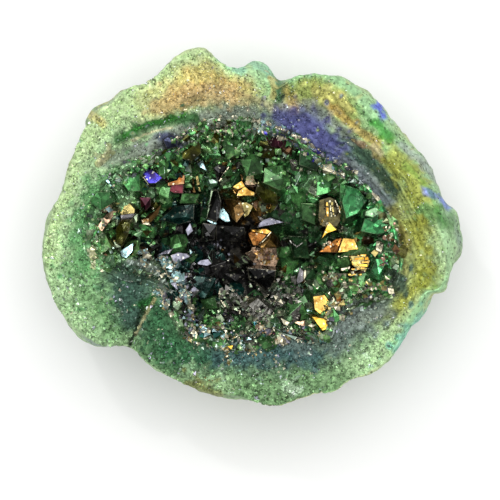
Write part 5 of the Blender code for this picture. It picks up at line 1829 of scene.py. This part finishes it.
def make_glitter(settings):
    """Tiny crystals in trails, sprinkled on whatever lies topmost there."""
    rng = np.random.default_rng(settings.seed + 2)
    plan, sizes, colours = [], [], []
    for half_width, density, growth, shares, path in GLITTER:
        places = scatter_on_path(rng, path, half_width, density * settings.glitter)
        weights = np.array(list(shares.values()), float)
        chosen = rng.choice(len(shares), len(places), p=weights / weights.sum())
        plan.append(places)
        sizes.append(np.full(len(places), growth))
        colours.append(np.array([FACE_COLOURS[name] for name in shares])[chosen])
    plan, colours = np.concatenate(plan), np.concatenate(colours)
    feet, normals = ground_point(plan[:, 0], plan[:, 1])
    count = len(feet)
    _, down = place_in_hollow(plan[:, 0], plan[:, 1])
    lift = np.where(down < 0.01, RIM_GLITTER_LIFT, GLITTER_LIFT)
    feet[:, 2] = np.maximum(feet[:, 2], cover_height(plan[:, 0], plan[:, 1])) + lift
    size = settings.glitter_size * np.concatenate(sizes) * rng.lognormal(0, 0.42, count)
    axes = unit(0.6 * normals + rng.normal(0, 0.34, (count, 3)) + (0, 0.08, 0.5))
    vertices, faces = grain_mesh(feet, axes, size, size * rng.uniform(0.2, 0.9, count), rng)
    # Painted sparkle: the tiny crystals are made lighter and less mirroring than their colours, so that
    # they read as bright specks.
    painted = np.repeat(colours * GLITTER_PAINTED_SPARKLE, len(GRAIN_FACES), axis=0)
    painted[:, :3] *= rng.lognormal(0, 0.3, (len(painted), 1))
    return film_mesh("edge_crystals", vertices, [faces], painted)


# ==== Settings ====
def amount(name, description, default, **limits):
    """A number that the user may change."""
    return bpy.props.FloatProperty(name=name, description=description, default=default, **limits)


def whole(name, description, default, **limits):
    """A whole number that the user may change."""
    return bpy.props.IntProperty(name=name, description=description, default=default, **limits)


class GeodeRindSettings(bpy.types.PropertyGroup):
    relief: amount("Relief", "Strength of the pebbles, grains and flow lines", 1.0, min=0, max=2)


class GeodeGrainSettings(bpy.types.PropertyGroup):
    count: whole("Grains", "Number of sugar grains on the rim", 24000, min=0, max=24900)
    grain_size: amount("Grain size", "Mean width of a grain in millimetres", 0.42, min=0.1, max=1)
    sparkle: amount("Sparkle", "Share of grains that flash", 0.045, min=0, max=1, subtype="FACTOR")
    seed: whole("Seed", "Seed of the grains' places", 21)


class GeodeCrystalSettings(bpy.types.PropertyGroup):
    middling_count: whole("Middling crystals", "Number of crystals a little under the largest", 720, min=0)
    small_count: whole("Small crystals", "Number of crystals between the others", 2150, min=0)
    border_count: whole("Border crystals", "Number of crystals on the hollow's edge", 1500, min=0)
    glitter: amount("Glitter", "How densely tiny crystals cover their trails", 1.0, min=0, max=2)
    glitter_size: amount("Glitter size", "Typical half width of a tiny crystal in millimetres", 0.27)
    edge_width: amount("Edge width", "Width of the bevelled edges of a crystal in millimetres", 0.05)
    film_share: amount("Film", "Share of faces that carry a coloured film", 0.09, subtype="FACTOR")
    clearness: amount("Clearness", "How far light passes through the quartz", 0.32, subtype="FACTOR")
    seed: whole("Seed", "Seed of the crystals' colours", 5)


class GeodeStageSettings(bpy.types.PropertyGroup):
    floor_colour: bpy.props.FloatVectorProperty(
        name="Floor", description="Colour of the table", default=(0.925,) * 3, size=3, subtype="COLOR"
    )
    sky: amount("Sky", "Strength of the even light", 0.38)
    overhead: amount("Overhead", "Power of the large overhead light", 4.4, unit="POWER")
    spark: amount("Spark", "Power of the small light that makes grains glint", 0.22, unit="POWER")
    view_width: amount("View width", "Width that the camera sees at the rim in millimetres", 85.7)


# ==== Operators ====
class GEODE_OT_rind(bpy.types.Operator):
    """Make the rind's surface in place of the rind solid"""

    bl_idname = "geode.rind"
    bl_label = "Rind"

    def execute(self, context):
        obj = make_rind(context.scene.geode_rind)
        finish_piece(obj, druse_finish("coated_rind", 0.10, 0.34, 0.40), "rind_druse", "rind")
        return {"FINISHED"}


class GEODE_OT_grains(bpy.types.Operator):
    """Make the sugar grains on the rim face"""

    bl_idname = "geode.grains"
    bl_label = "Rim grains"

    def execute(self, context):
        obj = make_grains(context.scene.geode_grains)
        finish_piece(obj, druse_finish("coated_sugar", 0.06, 0.16, 0.30), "rind_druse")
        return {"FINISHED"}


class GEODE_OT_crystals(bpy.types.Operator):
    """Make the crystals of the hollow in place of the crust solid"""

    bl_idname = "geode.crystals"
    bl_label = "Crystals"

    def execute(self, context):
        settings = context.scene.geode_crystals
        quartz = quartz_finish("filmed_quartz", settings.clearness)
        rng = np.random.default_rng(settings.seed + 1)
        finish_piece(make_large_crystals(settings), quartz, "aura_quartz", "crystal_crust")
        finish_piece(make_ground(), quartz, "aura_quartz")
        finish_piece(make_plates(), quartz, "aura_quartz")
        for name, count, sizes, chamfered in (
            ("middling_crystals", settings.middling_count, MIDDLING_SIZES, True),
            ("small_crystals", settings.small_count, SMALL_SIZES, False),
        ):
            made = grow_points(name, settings, rng, count, sizes, chamfered)
            finish_piece(made, quartz, "aura_quartz")
        finish_piece(make_border(settings), quartz, "aura_quartz")
        return {"FINISHED"}


class GEODE_OT_glitter(bpy.types.Operator):
    """Make the tiny crystals along the hollow's edge"""

    bl_idname = "geode.glitter"
    bl_label = "Glitter"

    def execute(self, context):
        settings = context.scene.geode_crystals
        finish_piece(make_glitter(settings), quartz_finish("filmed_glitter", 0.1), "aura_quartz")
        return {"FINISHED"}


class GEODE_OT_stage(bpy.types.Operator):
    """Make the table, the lights and the camera"""

    bl_idname = "geode.stage"
    bl_label = "Stage"

    def execute(self, context):
        make_stage(context.scene, context.scene.geode_stage)
        return {"FINISHED"}


# ==== Stage ====
TABLE_REACH = 900
LIT_PLACE = (0, 0, 20)
SOFTBOX_PLACE = (0, 90, 620)
SOFTBOX_WIDTH = 680
SPARK_PLACE = (-150, 250, 500)
SPARK_WIDTH = 25
SENSOR_WIDTH = 36


def make_light(name, place, target, size, power):
    """A square area light at a place, turned to face a target, both in millimetres."""
    data = bpy.data.lights.new(name, "AREA")
    data.size = size * MM
    data.energy = power
    back = unit(np.subtract(place, target).astype(float))
    right = unit(np.cross((0.0, 1.0, 0.0), back))
    matrix = np.eye(4)
    matrix[:3, 0], matrix[:3, 1], matrix[:3, 2] = right, np.cross(back, right), back
    matrix[:3, 3] = np.array(place) * MM
    add_object(name, data).matrix_world = matrix.T


def make_stage(scene, settings):
    """A pale table, an even sky, a large soft light, a small one and a camera that looks down."""
    corners = np.array([(-1, -1, 0), (1, -1, 0), (1, 1, 0), (-1, 1, 0)]) * TABLE_REACH
    floor = put_mesh("table", corners, [np.array([(0, 1, 2, 3)])])
    floor.data.materials.append(matt_finish("matt_table", tuple(settings.floor_colour)))

    world = bpy.data.worlds.new("even_sky")
    world.use_nodes = True
    sky = world.node_tree.nodes["Background"].inputs
    sky["Color"].default_value = (1, 1, 1, 1)
    sky["Strength"].default_value = settings.sky
    scene.world = world

    make_light("overhead_softbox", SOFTBOX_PLACE, LIT_PLACE, SOFTBOX_WIDTH, settings.overhead)
    make_light("spark_light", SPARK_PLACE, LIT_PLACE, SPARK_WIDTH, settings.spark)

    data = bpy.data.cameras.new("camera")
    data.sensor_width = SENSOR_WIDTH
    data.lens = SENSOR_WIDTH * (CAMERA_HEIGHT - RIM_PLANE) / settings.view_width
    data.clip_start = 0.01
    scene.camera = add_object("camera", data)
    scene.camera.location = (0, CAMERA_Y * MM, CAMERA_HEIGHT * MM)
    scene.view_settings.view_transform = "Standard"


class GEODE_PT_panel(bpy.types.Panel):
    """The geode's pieces and their settings"""

    bl_idname = "GEODE_PT_panel"
    bl_label = "Geode half"
    bl_space_type = "VIEW_3D"
    bl_region_type = "UI"
    bl_category = "Geode"

    def draw(self, context):
        for operator, group in STEPS:
            self.layout.operator(operator.bl_idname)
            settings = getattr(context.scene, group)
            for name in settings.__annotations__:
                self.layout.prop(settings, name)


STEPS = (
    (GEODE_OT_rind, "geode_rind"),
    (GEODE_OT_grains, "geode_grains"),
    (GEODE_OT_crystals, "geode_crystals"),
    (GEODE_OT_glitter, "geode_crystals"),
    (GEODE_OT_stage, "geode_stage"),
)
GROUPS = {
    "geode_rind": GeodeRindSettings,
    "geode_grains": GeodeGrainSettings,
    "geode_crystals": GeodeCrystalSettings,
    "geode_stage": GeodeStageSettings,
}


def register():
    for name, group in GROUPS.items():
        bpy.utils.register_class(group)
        setattr(bpy.types.Scene, name, bpy.props.PointerProperty(type=group))
    for operator, _ in STEPS:
        bpy.utils.register_class(operator)
    bpy.utils.register_class(GEODE_PT_panel)


def unregister():
    bpy.utils.unregister_class(GEODE_PT_panel)
    for operator, _ in reversed(STEPS):
        bpy.utils.unregister_class(operator)
    for name, group in GROUPS.items():
        delattr(bpy.types.Scene, name)
        bpy.utils.unregister_class(group)


def main():
    """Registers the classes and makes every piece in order."""
    register()
    bpy.ops.geode.rind()
    bpy.ops.geode.grains()
    bpy.ops.geode.crystals()
    bpy.ops.geode.glitter()
    bpy.ops.geode.stage()


if __name__ == "__main__":
    main()
